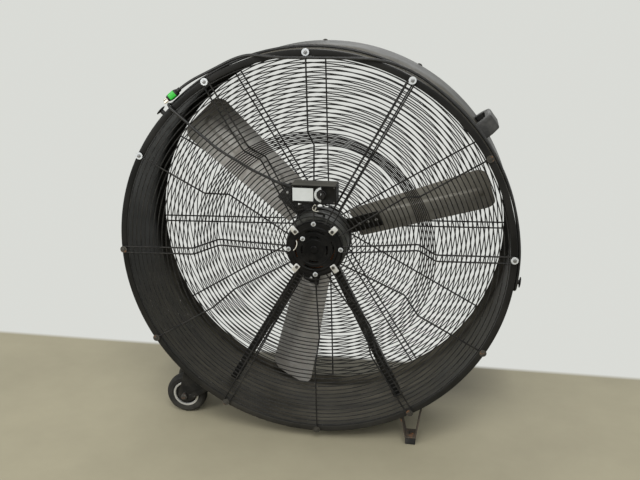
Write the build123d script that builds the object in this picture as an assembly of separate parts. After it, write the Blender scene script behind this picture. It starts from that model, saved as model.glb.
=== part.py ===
from build123d import *
from math import acos, atan2, cos, degrees, hypot, pi, radians, sin, sqrt, tan
import os

# Drum fan, 42 in class. X runs right and Y away from the intake side, Z up. The origin is on the
# floor, under the middle of the drum. The drum's axis runs along Y. Millimetres and degrees.

# Drum: a rolled sheet cylinder with a flange turned in at both ends.
axis_height = 585.0
drum_radius = 557.0
drum_depth = 320.0
sheet = 1.5
intake_flange = 29.0
outlet_flange = 21.0

# Guards: concentric ring wires on radial wires, held by screws through large washers.
bolt_inset = 7.0
bolt_count = 12
turned_by = 1.5
ring_wire = 3.2
ring_sides = 12
radial_wire = 4.5
ring_pitch = 12.6
pair_spacing = 18.0
guard_flat_radius = 343.0
guard_dish_radius = 292.0
guard_dish_depth = 88.0
guard_motor_radius = 82.0
guard_motor_depth = 48.0
cone_rings = 8
centre_plate_radius = 46.0
washer_radius = 10.0
washer_thickness = 1.6
head_radius = 5.0
head_height = 3.2

# Motor, from its intake end.
motor_radius = 88.0
motor_wall = 3.0
cap_radius = 80.0
cap_front = -117.0
dome_radius = 66.0
dome_height = 3.0
boss_radius = 11.0
motor_sides = 36
cap_length = 26.0
bearing_depth = 14.0
shell_length = 100.0
bell_length = 14.0
shaft_radius = 8.0
shaft_clearance = 0.05
bearing_radius = 17.5
bearing_width = 12.0
stack_length = 56.0
rotor_radius = 49.0
air_gap = 0.5
winding_height = 16.0
through_bolt_radius = 75.0
clip_length = 25.0
clip_width = 16.0
clip_thickness = 2.5

# Legs that carry the motor's outlet end.
band_thickness = 3.0
band_width = 24.0
leg_width = 25.0
leg_thickness = 4.0
leg_half_angle = 28.0
leg_axis = -92.0

# Fan.
tip_gap = 43.5
blade_count = 3
blade_angle = 17.5
blade_sheet = 2.0
blade_root_radius = 96.0
root_chord = 118.0
tip_chord = 162.0
blade_pitch = 30.0
blade_bow = 9.0
blade_corner = 34.0
fan_plane = 78.0
hub_radius = 24.0
hub_length = 46.0
arm_width = 58.0
arm_reach = 176.0
arm_thickness = 4.0
rivet_radius = 5.0
rivet_height = 2.5

# Wheels, 5 in.
wheel_radius = 63.5
wheel_width = 36.0
wheel_gap = 49.73
wheel_y = 54.0
rim_radius = 41.0
tyre_sides = 28
axle_radius = 6.3
axle_clearance = 0.05
fork_sheet = 4.0
fork_gap = 9.0
fork_boss_radius = 21.0
fork_before = 9.1
fork_after = 6.9

# Strap feet.
foot_left = 260.0
foot_right = 320.0
foot_base_left = 276.0
foot_base_right = 306.0
foot_width = 50.0
foot_y = 125.0
foot_strap = 3.0
foot_tab = 24.0
pad_length = 42.0
pad_height = 24.0

# Carrying handle.
handle_angle = 37.5
handle_length = 160.0
handle_height = 48.0
handle_width = 46.0
grip_thickness = 18.0
handle_foot = 26.0

# Control box, in front of the guard and above the motor.
box_x = 5.0
box_up = 172.0
box_width = 125.0
box_height = 52.0
box_front = -162.0
box_back = -106.0
box_wall = 2.0
cover_depth = 18.0
face_recess = 1.5
knob_x = 28.0
knob_radius = 12.0
knob_height = 13.0
knob_shaft_radius = 3.0
dial_inner = 15.0
dial_outer = 21.0
label_width = 57.0
label_height = 36.0

# Clamp behind the guard that holds the box.
clamp_gap = 6
clamp_screw_x = 42.0
clamp_screw_radius = 3.0
clamp_plate_up = 150.0
clamp_plate_width = 112.0
clamp_plate_height = 34.0
clamp_plate_sheet = 3.0
gland_radius = 8.0

# Cord.
cord_radius = 3.9
left_hook_angle = 138.0
right_hook_angle = -6.0
hook_height = 18.0
hook_post_radius = 8.0
hook_flange_radius = 15.0
near_strand = -139.0
far_strand = -113.5
plug_angle = 129.2
plug_lift = 17.7
plug_neck = 11.0
plug_body = 34.0
prong_length = 15.0

touch = 0.3
front = -drum_depth / 2
back = drum_depth / 2
inner_radius = drum_radius - sheet
intake_flange_radius = drum_radius - intake_flange
outlet_flange_radius = drum_radius - outlet_flange
bolt_radius = drum_radius - bolt_inset
tip_radius = inner_radius - tip_gap
intake_radial_front = front - radial_wire
# The wheels stand left of the drum, a gap clear of it, with their lowest point on the floor.
wheel_drop = axis_height - wheel_radius
wheel_x = -sqrt((drum_radius + wheel_gap + wheel_radius) ** 2 - wheel_drop ** 2)
wheel_angle = degrees(atan2(-wheel_drop, wheel_x))
fork_from = wheel_angle - fork_before
fork_to = wheel_angle + fork_after


def polar(radius, angle, y=0.0):
    return Vector(radius * cos(radians(angle)), y, axis_height + radius * sin(radians(angle)))


def at_axis(solid):
    return Pos(0, 0, axis_height) * solid


def turned(*profile):
    """A solid turned about the drum's axis from (radius, y) corners."""
    return at_axis(revolve(make_face(Polyline(*profile, close=True)), Axis.Y))


def disc(radius, y0, y1, x=0.0, z=axis_height, bore=0.0):
    """A cylinder or ring along Y from y0 to y1."""
    plane = Plane((x, y0, z), x_dir=(1, 0, 0), z_dir=(0, 1, 0))
    face = Circle(radius) - Circle(bore) if bore else Circle(radius)
    return extrude(plane * face, y1 - y0)


def prism(sides, radius, y0, y1, x=0.0, z=axis_height):
    """A regular prism along Y from y0 to y1."""
    plane = Plane((x, y0, z), x_dir=(1, 0, 0), z_dir=(0, 1, 0))
    return extrude(plane * RegularPolygon(radius, sides), y1 - y0)


def radial_plane(angle, radius, y=0.0):
    """Plane that faces outward at an angle round the drum, its X along the drum's axis."""
    u = Vector(cos(radians(angle)), 0, sin(radians(angle)))
    return Plane(polar(radius, angle, y), x_dir=(0, 1, 0), z_dir=u)


def bolt_angles():
    return [turned_by + 360 / bolt_count * i for i in range(bolt_count)]


def save(node, *solids):
    shape = Compound(children=[s for part in solids for s in part.solids()])
    shape.label = node
    export_step(shape, f"parts/{node}.step")
    return shape


# Drum


def drum_shell():
    return turned(
        (intake_flange_radius, front), (drum_radius, front), (drum_radius, back),
        (outlet_flange_radius, back), (outlet_flange_radius, back - sheet), (inner_radius, back - sheet),
        (inner_radius, front + sheet), (intake_flange_radius, front + sheet),
    )


# Guards


def guard_line(radius):
    """How far the intake guard's rings lie behind the rim at a radius."""
    if radius >= guard_flat_radius:
        return 0.0
    if radius >= guard_dish_radius:
        return guard_dish_depth * (guard_flat_radius - radius) / (guard_flat_radius - guard_dish_radius)
    run = (guard_dish_radius - radius) / (guard_dish_radius - guard_motor_radius)
    return guard_dish_depth + (guard_motor_depth - guard_dish_depth) * run


def widest_ring(flange_radius):
    """Radius of the outer ring wire, whose corners just clear the flange."""
    return (flange_radius - 1 - ring_wire) * cos(pi / ring_sides)


def ring(radius, y, slope=0.0, away=1):
    """A ring wire with straight sides, whose middles are welded to the radial wires."""
    corner = radius / cos(pi / ring_sides)
    points = [polar(corner, 360 / ring_sides * (i + 0.5) + turned_by, y) for i in range(ring_sides)]
    path = Polyline(*points, close=True)
    side = path.edges()[0]
    middle = side @ 0.5
    outward = (middle - Vector(0, y, axis_height)).normalized()
    along = outward * cos(radians(slope)) + Vector(0, 1, 0) * sin(radians(slope))
    section = Plane(middle, x_dir=along, z_dir=side % 0.5)
    tip = ring_wire if section.y_dir.Y * away > 0 else -ring_wire
    half = ring_wire / 2
    return sweep(section * Polygon((-half, 0), (half, 0), (0, tip), align=None), path=path,
                 transition=Transition.RIGHT)


def ring_reach(radius, angle):
    """How far out a dish ring's straight sides reach at an angle."""
    step = 360 / ring_sides
    off = (angle - turned_by + step / 2) % step - step / 2
    return radius / cos(radians(off))


def dish_ring_radius(i):
    """Radius of ring i of the inner dish, counted from the motor, or of a gap at i and a half."""
    run = guard_dish_radius - guard_motor_radius
    return guard_motor_radius + run * i / round(run / ring_pitch)


def intake_rings():
    rings = []
    radius = widest_ring(intake_flange_radius)
    while radius > guard_flat_radius + ring_pitch / 2:
        rings.append(ring(radius, front))
        radius -= ring_pitch
    run, rise = guard_flat_radius - guard_dish_radius, guard_dish_depth
    slope = -degrees(acos(run / hypot(run, rise)))
    for i in range(cone_rings):
        r = guard_flat_radius - run * (i + 0.5) / cone_rings
        rings.append(ring(r, front + guard_line(r), slope))
    run, rise = guard_dish_radius - guard_motor_radius, guard_dish_depth - guard_motor_depth
    slope = degrees(acos(run / hypot(run, rise)))
    for i in range(round(run / ring_pitch)):
        r = dish_ring_radius(i)
        rings.append(ring(r, front + guard_line(r), slope))
    return rings


def radial(angle, offset, stops):
    """A radial wire through (radius, y) stops, set aside from the true radius by an offset."""
    u = Vector(cos(radians(angle)), 0, sin(radians(angle)))
    aside = Vector(-u.Z, 0, u.X) * offset
    centre = Vector(0, 0, axis_height)
    path = Polyline(*[centre + u * r + aside + Vector(0, y, 0) for r, y in stops])
    start = Plane(path @ 0, x_dir=Vector(0, 1, 0).cross(path % 0), z_dir=path % 0)
    return sweep(start * Rectangle(radial_wire, radial_wire), path=path, transition=Transition.RIGHT)


def radials(stops):
    wires = []
    for i, angle in enumerate(bolt_angles()):
        offsets = (-pair_spacing / 2, pair_spacing / 2) if i % 2 == 0 else (0,)
        wires += [radial(angle, offset, stops) for offset in offsets]
    return wires


def intake_radials():
    # The wires' back faces lie on the guard line, so each stop is half a wire in front of it,
    # square to the two runs that meet there.
    half = radial_wire / 2
    line = [
        (bolt_radius + 2, front), (guard_flat_radius, front),
        (guard_dish_radius, front + guard_dish_depth), (guard_motor_radius - 2, front + guard_line(guard_motor_radius - 2)),
    ]
    stops = []
    for i, (r, y) in enumerate(line):
        before = line[max(i - 1, 0):max(i - 1, 0) + 2]
        after = line[min(i, len(line) - 2):min(i, len(line) - 2) + 2]
        tilts = [Vector(b[0] - a[0], b[1] - a[1], 0).normalized() for a, b in (before, after)]
        normals = [Vector(-t.Y, t.X, 0) for t in tilts]
        middle = (normals[0] + normals[1]).normalized()
        reach = half / middle.dot(normals[0])
        sign = -1 if middle.Y > 0 else 1
        stops.append((r + sign * middle.X * reach, y + sign * middle.Y * reach))
    return radials(stops)


def outlet_rings():
    rings = []
    radius = widest_ring(outlet_flange_radius)
    while radius > centre_plate_radius:
        rings.append(ring(radius, back, away=-1))
        radius -= ring_pitch
    return rings


def outlet_radials():
    y = back + radial_wire / 2
    return radials([(bolt_radius + 2, y), (centre_plate_radius - 6, y)])


def rim_washers():
    parts = []
    for angle in bolt_angles():
        p = polar(bolt_radius, angle)
        near, far = intake_radial_front, back + radial_wire
        parts.append(prism(8, washer_radius, near - washer_thickness, near, p.X, p.Z))
        parts.append(prism(8, washer_radius, far, far + washer_thickness, p.X, p.Z))
    return parts


def rim_screws():
    parts = []
    near = intake_radial_front - washer_thickness
    far = back + radial_wire + washer_thickness
    for angle in bolt_angles():
        for y, way in ((near, -1), (far, 1)):
            plane = Plane(polar(bolt_radius, angle, y), x_dir=(1, 0, 0), z_dir=(0, way, 0))
            parts.append(extrude(plane * RegularPolygon(head_radius, 6), head_height))
    return parts


# Motor


def motor_front():
    """Front bell: a cup with a raised face and boss, arc vents in four directions, a bearing seat."""
    r, y = cap_radius, cap_front
    floor = y + motor_wall
    bell = prism(motor_sides, r, y, y + cap_length) - prism(motor_sides, r - motor_wall, floor, y + cap_length + 1)
    bell += prism(motor_sides, dome_radius, y - dome_height, y)
    bell += prism(12, boss_radius, y - dome_height - 3, y - dome_height)
    bell += prism(16, bearing_radius + 5, floor, y + bearing_depth)
    bell -= disc(bearing_radius, y + bearing_depth - bearing_width, y + bearing_depth + 1)
    plane = Plane((0, y - 12, axis_height), x_dir=(1, 0, 0), z_dir=(0, 1, 0))
    vents = Sketch()
    for radius, span in ((37, 44), (55, 60)):
        sides = [(radius - 2.6, turn) for turn in (-2, -1, 0, 1, 2)] + [(radius + 2.6, turn) for turn in (2, 1, 0, -1, -2)]
        corners = [(a * cos(radians(turn * span / 4)), a * sin(radians(turn * span / 4))) for a, turn in sides]
        vents += PolarLocations(0, 4) * Polygon(*corners, align=None)
    return bell - extrude(plane * vents, 26)


def motor_shell():
    """Open tube with a lip turned in round the front bell."""
    y, r = cap_front + cap_length, motor_radius
    shell = prism(motor_sides, r, y, y + shell_length)
    shell -= prism(motor_sides, r - motor_wall, y + motor_wall, y + shell_length + 1)
    return shell - prism(motor_sides, cap_radius - motor_wall, y - 1, y + motor_wall + 1)


def shell_end():
    return cap_front + cap_length + shell_length


def motor_rear():
    """Rear bell: a stepped plate with a bearing seat and a hole for the shaft."""
    y = shell_end()
    bell = prism(motor_sides, motor_radius, y, y + bell_length / 2) + prism(24, 52, y, y + bell_length)
    bell -= disc(bearing_radius, y - 1, y + bearing_width)
    return bell - prism(12, shaft_radius + 3, y - 1, y + bell_length + 1)


def bearing_places():
    front_y = cap_front + bearing_depth - bearing_width
    return [(front_y, front_y + bearing_width), (shell_end(), shell_end() + bearing_width)]


def bearings():
    bore = shaft_radius + shaft_clearance
    return [prism(16, bearing_radius, a, b) - disc(bore, a - 1, b + 1) for a, b in bearing_places()]


def stack_span():
    middle = (cap_front + cap_length + shell_end()) / 2
    return middle - stack_length / 2, middle + stack_length / 2


def stator_core():
    a, b = stack_span()
    bore = (rotor_radius + air_gap) / cos(pi / 16)
    return prism(motor_sides, motor_radius - motor_wall, a, b) - prism(16, bore, a - 1, b + 1)


def windings():
    a, b = stack_span()
    low, high = rotor_radius + 5, motor_radius - motor_wall - 8
    places = ((a - winding_height, a), (b, b + winding_height))
    return [prism(16, high, p, q) - prism(16, low, p - 1, q + 1) for p, q in places]


def rotor_core():
    a, b = stack_span()
    return prism(16, rotor_radius, a, b) - disc(shaft_radius, a - 1, b + 1)


def hub_start():
    return fan_plane - hub_length / 2


def motor_shaft():
    start = cap_front + bearing_depth - bearing_width + touch
    return disc(shaft_radius, start, hub_start() + hub_length + 4)


def through_bolts():
    bolts = []
    for i in range(4):
        p = polar(through_bolt_radius, 90 * i + 2)
        plane = Plane((p.X, cap_front, p.Z), x_dir=(1, 0, 0), z_dir=(0, -1, 0))
        bolts.append(extrude(plane * RegularPolygon(5.5, 6), 4.5))
    return bolts


def clip_angles():
    return [47 + 90 * i for i in range(4)]


def clip_seat():
    """The clips bear on the rim of the motor's front bell."""
    return cap_front


def guard_clips():
    clips = []
    for angle in clip_angles():
        plane = Plane(polar(dome_radius + 1 + clip_length / 2, angle, clip_seat()),
                      x_dir=(cos(radians(angle)), 0, sin(radians(angle))), z_dir=(0, -1, 0))
        clips.append(extrude(plane * Rectangle(clip_length, clip_width), clip_thickness))
    return clips


def clip_screws():
    screws = []
    for angle in clip_angles():
        y = clip_seat() - clip_thickness
        plane = Plane(polar(through_bolt_radius - 1, angle, y), x_dir=(1, 0, 0), z_dir=(0, -1, 0))
        screws.append(extrude(plane * RegularPolygon(4.5, 6), 3.5))
    return screws


# Motor legs


def leg_angles():
    return leg_axis - leg_half_angle, leg_axis + leg_half_angle


def motor_cradle():
    """Clamp band round the motor with two angle legs that end in a foot on the drum's wall."""
    y0 = shell_end() - band_width
    bore = motor_radius + touch
    cradle = prism(motor_sides, bore + band_thickness, y0, y0 + band_width)
    cradle -= prism(motor_sides, bore, y0 - 1, y0 + band_width + 1)
    for angle in leg_angles():
        start = bore + band_thickness / 2
        end = inner_radius - touch - leg_thickness / 2
        leg = extrude(radial_plane(angle, start, y0 + leg_thickness / 2) * Rectangle(leg_thickness, leg_width), end - start)
        lip = radial_plane(angle, start + 8, y0 + band_width / 2) * Pos(0, leg_width / 2 - leg_thickness / 2)
        leg += extrude(lip * Rectangle(band_width * 0.7, leg_thickness), end - start - 20)
        foot = radial_plane(angle, end - leg_thickness / 2, y0 + band_width / 2)
        cradle += leg + extrude(foot * Rectangle(band_width, leg_width), leg_thickness)
    return cradle


def leg_bolts():
    """One bolt through the drum for each leg, its head outside."""
    bolts = []
    y = shell_end() - band_width / 2
    for angle in leg_angles():
        outside = radial_plane(angle, drum_radius + touch, y)
        bolts.append(extrude(outside * RegularPolygon(6.5, 6), 4))
    return bolts


# Fan





def blade_place(angle):
    """Frame of a blade: X outward along it, Z across it at its pitch, Y downstream."""
    return Pos(0, 0, axis_height) * Rot(0, -angle, 0) * Pos(0, fan_plane, 0) * Rot(blade_pitch, 0, 0)


def blade(angle):
    """Rolled sheet, bowed upstream, trimmed wider at its rounded tip than at its root."""
    half, t = tip_chord / 2, blade_sheet / 2
    length = tip_radius - blade_root_radius
    plane = Plane((blade_root_radius, 0, 0), x_dir=(0, 0, 1), z_dir=(1, 0, 0))
    inner = ThreePointArc((-half, t), (0, t + blade_bow), (half, t))
    outer = ThreePointArc((half, -t), (0, blade_bow - t), (-half, -t))
    rolled = extrude(plane * make_face([inner, Line(inner @ 1, outer @ 0), outer, Line(outer @ 1, inner @ 0)]), length)
    trim = Plane((0, -40, 0), x_dir=(1, 0, 0), z_dir=(0, 1, 0))
    root = root_chord / 2
    outline = Polygon((blade_root_radius, -root), (tip_radius, -half), (tip_radius, half), (blade_root_radius, root),
                      align=None)
    outline = fillet(outline.vertices().sort_by(Axis.X)[2:], blade_corner)
    return blade_place(angle) * (rolled & extrude(trim * outline, 80))


def blade_angles():
    return [blade_angle + 360 / blade_count * i for i in range(blade_count)]


def arm_place(angle):
    """Frame on an arm's upstream face, where the blade's bow is highest."""
    return blade_place(angle) * Pos(0, -(blade_bow + blade_sheet / 2 + touch + arm_thickness), 0)


def fan_hub():
    """Boss on the shaft with three flat arms, each turned to its blade's pitch."""
    hub = prism(16, hub_radius, hub_start(), hub_start() + hub_length)
    length = arm_reach - hub_radius / 2
    for angle in blade_angles():
        arm = Pos(hub_radius / 2 + length / 2, arm_thickness / 2, 0) * Box(length, arm_thickness, arm_width)
        hub += arm_place(angle) * arm
    return hub - disc(shaft_radius, hub_start() - 40, hub_start() + hub_length + 40)


def blade_rivets():
    """Rivet heads along each arm, on its upstream face."""
    rivets = []
    for angle in blade_angles():
        for radius in (blade_root_radius + 14, (blade_root_radius + arm_reach) / 2, arm_reach - 14):
            spot = Plane((radius, 0, 0), x_dir=(1, 0, 0), z_dir=(0, -1, 0))
            head = extrude(spot * RegularPolygon(rivet_radius, 6), rivet_height)
            rivets.append(arm_place(angle) * head)
    return rivets


# Wheels


def wheel_axis_place(side):
    return wheel_x, side * wheel_y, wheel_radius





def tyre(side):
    """A solid tyre with sloped shoulders."""
    x, y, z = wheel_axis_place(side)
    half = wheel_width / 2
    body = prism(tyre_sides, wheel_radius, y - half, y + half, x, z)
    ends = [edge for face in body.faces().filter_by(Axis.Y) for edge in face.edges()]
    body = chamfer(ends, 8)
    return body - prism(tyre_sides, rim_radius, y - half - 1, y + half + 1, x, z)


def wheel_rim(side):
    """Dished rim with a hub, bored for the axle."""
    x, y, z = wheel_axis_place(side)
    half = wheel_width / 2
    rim = prism(tyre_sides, rim_radius, y - half + 3, y + half - 3, x, z)
    for face in (y - half + 3, y + half - 3):
        rim -= prism(16, rim_radius - 5, face - 8, face + 8, x, z)
    rim += prism(8, 14, y - half - 3, y + half + 3, x, z)
    return rim - disc(axle_radius + axle_clearance, y - half - 4, y + half + 4, x, z)


def fork_span(side):
    half = wheel_width / 2 + fork_gap
    return side * wheel_y - half - fork_sheet, side * wheel_y + half + fork_sheet


def wheel_fork(side):
    """A channel on the drum: two ears joined by a web that follows the drum's curve."""
    y0, y1 = fork_span(side)
    a, b = polar(drum_radius - 20, fork_from), polar(drum_radius - 20, fork_to)
    x, z, r = wheel_x, wheel_radius, fork_boss_radius
    plane = Plane((0, y0, 0), x_dir=(1, 0, 0), z_dir=(0, -1, 0))
    ear = make_face(Polyline((a.X, a.Z), (x - r, z), (x - r * 0.6, z - r * 0.8), (x, z - r),
                             (x + r * 0.6, z - r * 0.8), (b.X, b.Z), close=True))
    block = extrude(plane * ear, y0 - y1)
    wide = disc(drum_radius + touch, y0 - 5, y1 + 5)
    web = disc(drum_radius + touch + fork_sheet, y0 + fork_sheet, y1 - fork_sheet)
    room = extrude(Plane((0, y0 + fork_sheet, 0), x_dir=(1, 0, 0), z_dir=(0, -1, 0)) * Pos(x + 60, z + 80)
                   * Rectangle(420, 420), y0 - y1 + 2 * fork_sheet) - web
    hole = disc(axle_radius, y0 - 5, y1 + 5, x, z)
    return block - wide - room - hole


def axle_bolt(side):
    y0, y1 = fork_span(side)
    x, z = wheel_x, wheel_radius
    rod = disc(axle_radius, y0 - 1, y1 + 1, x, z)
    return rod + prism(6, 11, y0 - 6.5, y0, x, z) + prism(6, 11, y1, y1 + 6.5, x, z)


# Feet


def drum_height(x):
    """Height of the drum's underside at x."""
    return axis_height - sqrt(drum_radius ** 2 - x ** 2)


def foot_strap_part(side):
    t = foot_strap
    base = pad_height + t / 2
    gap = touch + t / 2

    def tab(x, way):
        angle = degrees(acos(x / drum_radius))
        near = polar(drum_radius + gap, -angle)
        end = near + Vector(sin(radians(angle)), 0, cos(radians(angle))) * foot_tab * way
        return (near.X, near.Z), (end.X, end.Z)

    left, left_tab = tab(foot_left, -1)
    right, right_tab = tab(foot_right, 1)
    line = Polyline(left_tab, left, (foot_base_left, base), (foot_base_right, base), right, right_tab)
    strap = Plane.XZ * trace(line, t)
    y = side * foot_y
    return Pos(0, y + foot_width / 2, 0) * extrude(strap, foot_width)


def foot_pad(side):
    x = (foot_base_left + foot_base_right) / 2
    width = foot_base_right - foot_base_left
    pad = Pos(x, side * foot_y, pad_height / 2) * Box(width, pad_length, pad_height)
    return chamfer(pad.edges().group_by(Axis.Z)[0], 2)


def foot_bolt(side):
    x = (foot_base_left + foot_base_right) / 2
    top = pad_height + foot_strap
    plane = Plane((x, side * foot_y, top), x_dir=(1, 0, 0), z_dir=(0, 0, 1))
    return extrude(plane * RegularPolygon(6, 6), 5)


# Handle


def handle():
    """A moulded D handle: two feet and a rounded grip with room for fingers under it."""
    l, h, f = handle_length / 2, handle_height, handle_foot
    base = touch
    outer = [(-l, base), (-l + 8, h - 16), (-l + 26, h), (l - 26, h), (l - 8, h - 16), (l, base)]
    inner = [(l - f, base), (l - f - 6, h - grip_thickness - 6), (l - f - 16, h - grip_thickness),
             (-l + f + 16, h - grip_thickness), (-l + f + 6, h - grip_thickness - 6), (-l + f, base)]
    u = Vector(cos(radians(handle_angle)), 0, sin(radians(handle_angle)))
    side = Vector(-u.Z, 0, u.X)
    plane = Plane(polar(drum_radius, handle_angle) + side * (handle_width / 2), x_dir=(0, 1, 0),
                  z_dir=side * -1)
    if plane.y_dir.dot(u) < 0:
        plane = Plane(polar(drum_radius, handle_angle) - side * (handle_width / 2), x_dir=(0, 1, 0), z_dir=side)
    body = extrude(plane * make_face(Polyline(*outer, *inner, close=True)), handle_width)
    top = [e for e in body.edges()
           if (e.center() - polar(drum_radius, handle_angle)).dot(u) > h - 20
           and abs(abs((e.center() - polar(drum_radius, handle_angle)).dot(side)) - handle_width / 2) < 0.1]
    outer_top = [e for e in top if (e.center() - polar(drum_radius, handle_angle)).dot(u) > h - grip_thickness + 2]
    body = fillet(outer_top, 7)
    return body - disc(drum_radius + touch, -l - 10, l + 10)


def handle_screws():
    screws = []
    for way in (-1, 1):
        y = way * (handle_length / 2 - handle_foot / 2)
        inside = radial_plane(handle_angle, inner_radius - touch, y)
        screws.append(extrude(inside * RegularPolygon(6, 6), -4))
    return screws


# Control box


def box_plane(y, way=-1):
    return Plane((box_x, y, axis_height + box_up), x_dir=(1, 0, 0), z_dir=(0, way, 0))


def box_sketch(inset=0.0):
    corner = max(3 - inset, 0.6)
    outline = Rectangle(box_width - 2 * inset, box_height - 2 * inset)
    return chamfer(outline.vertices(), corner)


def box_base():
    """Open tray with a flat back, holed for the gland and the two clamp screws."""
    front_y = box_front + cover_depth
    tray = extrude(box_plane(box_back) * box_sketch(), box_back - front_y)
    room = extrude(box_plane(box_back - box_wall) * box_sketch(box_wall), box_back - box_wall - front_y)
    side = box_x - box_width / 2
    holes = [across_prism(12, gland_radius, side - 5, side + 5)]
    holes += [prism(6, clamp_screw_radius, box_back - 5, box_back + 5, x, z) for x, z in clamp_holes()]
    for hole in holes:
        tray -= hole
    return tray - room


def across_prism(sides, radius, x0, x1):
    """A regular prism along X on the gland's axis."""
    plane = Plane((x0, gland_y(), gland_z()), x_dir=(0, 1, 0), z_dir=(1, 0, 0))
    return extrude(plane * RegularPolygon(radius, sides), x1 - x0)


def gland_y():
    return box_front + cover_depth + 9


def gland_z():
    return axis_height + box_up + 14


def box_cover():
    """Shallow lid with a recessed face, holed for the switch."""
    seam = box_front + cover_depth - touch
    lid = extrude(box_plane(seam) * box_sketch(), seam - box_front)
    recess = extrude(box_plane(box_front + face_recess) * box_sketch(4), face_recess + 1)
    room = extrude(box_plane(seam + 1) * box_sketch(box_wall), seam + 1 - box_front - face_recess - box_wall)
    shaft_hole = prism(12, knob_shaft_radius + 3, box_front - 2, box_front + 8, knob_x, axis_height + box_up)
    return lid - recess - room - shaft_hole


def face_y():
    return box_front + face_recess


def knob():
    """Round knob with a raised pointer bar, on the switch's shaft."""
    y = face_y() - touch - dial_thickness
    z = axis_height + box_up
    body = prism(16, knob_radius, y - knob_height, y, knob_x, z)
    plane = Plane((knob_x, y - knob_height, z), x_dir=(1, 0, 0), z_dir=(0, -1, 0))
    bar = extrude(plane * Rectangle(4, knob_radius * 1.4), 1.5)
    return body + bar + disc(knob_shaft_radius, y, y + 16, knob_x, z)


dial_thickness = 0.8


def dial_arc():
    """Flat arc printed plate from the top of the knob round its left side."""
    plane = Plane((knob_x, face_y(), axis_height + box_up), x_dir=(1, 0, 0), z_dir=(0, -1, 0))
    turns = [95 + 170 * i / 8 for i in range(9)]
    corners = [(dial_outer, t) for t in turns] + [(dial_inner, t) for t in reversed(turns)]
    arc = Polygon(*[(r * cos(radians(t)), r * sin(radians(t))) for r, t in corners], align=None)
    return extrude(plane * arc, dial_thickness)


def blank_label():
    x = box_x - box_width / 2 + 5 + label_width / 2
    plane = Plane((x, face_y(), axis_height + box_up - 1), x_dir=(1, 0, 0), z_dir=(0, -1, 0))
    return extrude(plane * Rectangle(label_width, label_height), 0.6)


def rotary_switch():
    """Switch body behind the cover, with the bore that the knob's shaft turns in."""
    y0 = face_y() + box_wall + touch
    z = axis_height + box_up
    body = Pos(knob_x, y0 + 11, z) * Box(26, 22, 26)
    return body - disc(knob_shaft_radius + shaft_clearance, y0 - 1, y0 + 18, knob_x, z)


def run_capacitor():
    z = axis_height + box_up + 9
    y = box_back - box_wall - touch - 14
    plane = Plane((box_x - box_width / 2 + 10, y, z), x_dir=(0, 1, 0), z_dir=(1, 0, 0))
    return extrude(plane * RegularPolygon(14, 16), 52)


def clamp_holes():
    """Clamp screw places, in the gap between two ring wires."""
    places = []
    for x in (-clamp_screw_x, clamp_screw_x):
        gap = radius = dish_ring_radius(clamp_gap + 0.5)
        for _ in range(4):
            radius = ring_reach(gap, degrees(acos(x / radius)))
        places.append((x, axis_height + sqrt(radius ** 2 - x ** 2)))
    return places


def guard_back(z):
    """Where the back of the guard's rings lies at a height over the axis."""
    return front + guard_line(z) + ring_wire / cos(atan_slope())


def atan_slope():
    return radians(degrees(acos((guard_dish_radius - guard_motor_radius) / hypot(
        guard_dish_radius - guard_motor_radius, guard_dish_depth - guard_motor_depth))))


def clamp_plate():
    """Strip behind the guard that the box is screwed to, with the wires between."""
    plane = Plane((0, clamp_plate_y(), axis_height + clamp_plate_up), x_dir=(1, 0, 0), z_dir=(0, 1, 0))
    outline = chamfer(Rectangle(clamp_plate_width, clamp_plate_height).vertices(), 5)
    plate = extrude(plane * outline, clamp_plate_sheet)
    for x, z in clamp_holes():
        plate -= prism(6, clamp_screw_radius, clamp_plate_y() - 5, clamp_plate_y() + 8, x, z)
    return plate


def clamp_plate_y():
    return guard_back(hypot(clamp_plate_width / 2, clamp_plate_up + clamp_plate_height / 2)) + touch


def clamp_screws():
    """Screws from inside the box, through the guard and the plate, with a nut behind."""
    screws = []
    y = clamp_plate_y() + clamp_plate_sheet
    for x, z in clamp_holes():
        rod = prism(6, clamp_screw_radius, box_back - box_wall - 3, y + 6, x, z)
        head = prism(6, 5.5, box_back - box_wall - 3, box_back - box_wall, x, z)
        screws.append(rod + head + prism(6, 5.5, y, y + 4, x, z))
    return screws


def cord_gland():
    x = box_x - box_width / 2
    return across_prism(12, gland_radius, x - touch, x + box_wall + 2) + across_prism(6, 11, x - 7, x - touch)


# Cord hooks


def cord_hook(angle, y):
    """A post on the drum's wall with a flange that keeps the cord on it."""
    seat = radial_plane(angle, drum_radius + touch, y)
    post = extrude(seat * RegularPolygon(hook_post_radius, 12), hook_height)
    return post + extrude(seat.offset(hook_height - 3) * RegularPolygon(hook_flange_radius, 12), 3)


# Cord


def rounded_path(points):
    """Straight runs with an arc at each corner as large as its two runs allow."""
    radii = []
    for a, b, c in zip(points, points[1:], points[2:]):
        turn = (b - a).get_angle(c - b)
        radii.append(0.45 * min((b - a).length, (c - b).length) / tan(radians(turn / 2)))
    return FilletPolyline(*points, radius=radii), radii


def tube(name, points):
    path, radii = rounded_path(points)
    section = Plane(path @ 0, z_dir=path % 0) * RegularPolygon(cord_radius, 5)
    solid = sweep(section, path=path)
    share = solid.volume / (section.area * path.length)
    print(f"{name}: {path.length:.0f} mm long, volume over section times length {share:.4f}")
    print("  radii " + " ".join(f"{r:.0f}" for r in radii))
    return solid, path


def least_gap(path):
    """Least gap between parts of a tube that are more than 80 mm apart along it."""
    count = int(path.length / 6)
    spots = [path @ (i / count) for i in range(count + 1)]
    away = int(80 / 6)
    return min((a - b).length for i, a in enumerate(spots) for b in spots[i + away:]) - 2 * cord_radius


def hook_y():
    return (near_strand + far_strand) / 2


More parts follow.
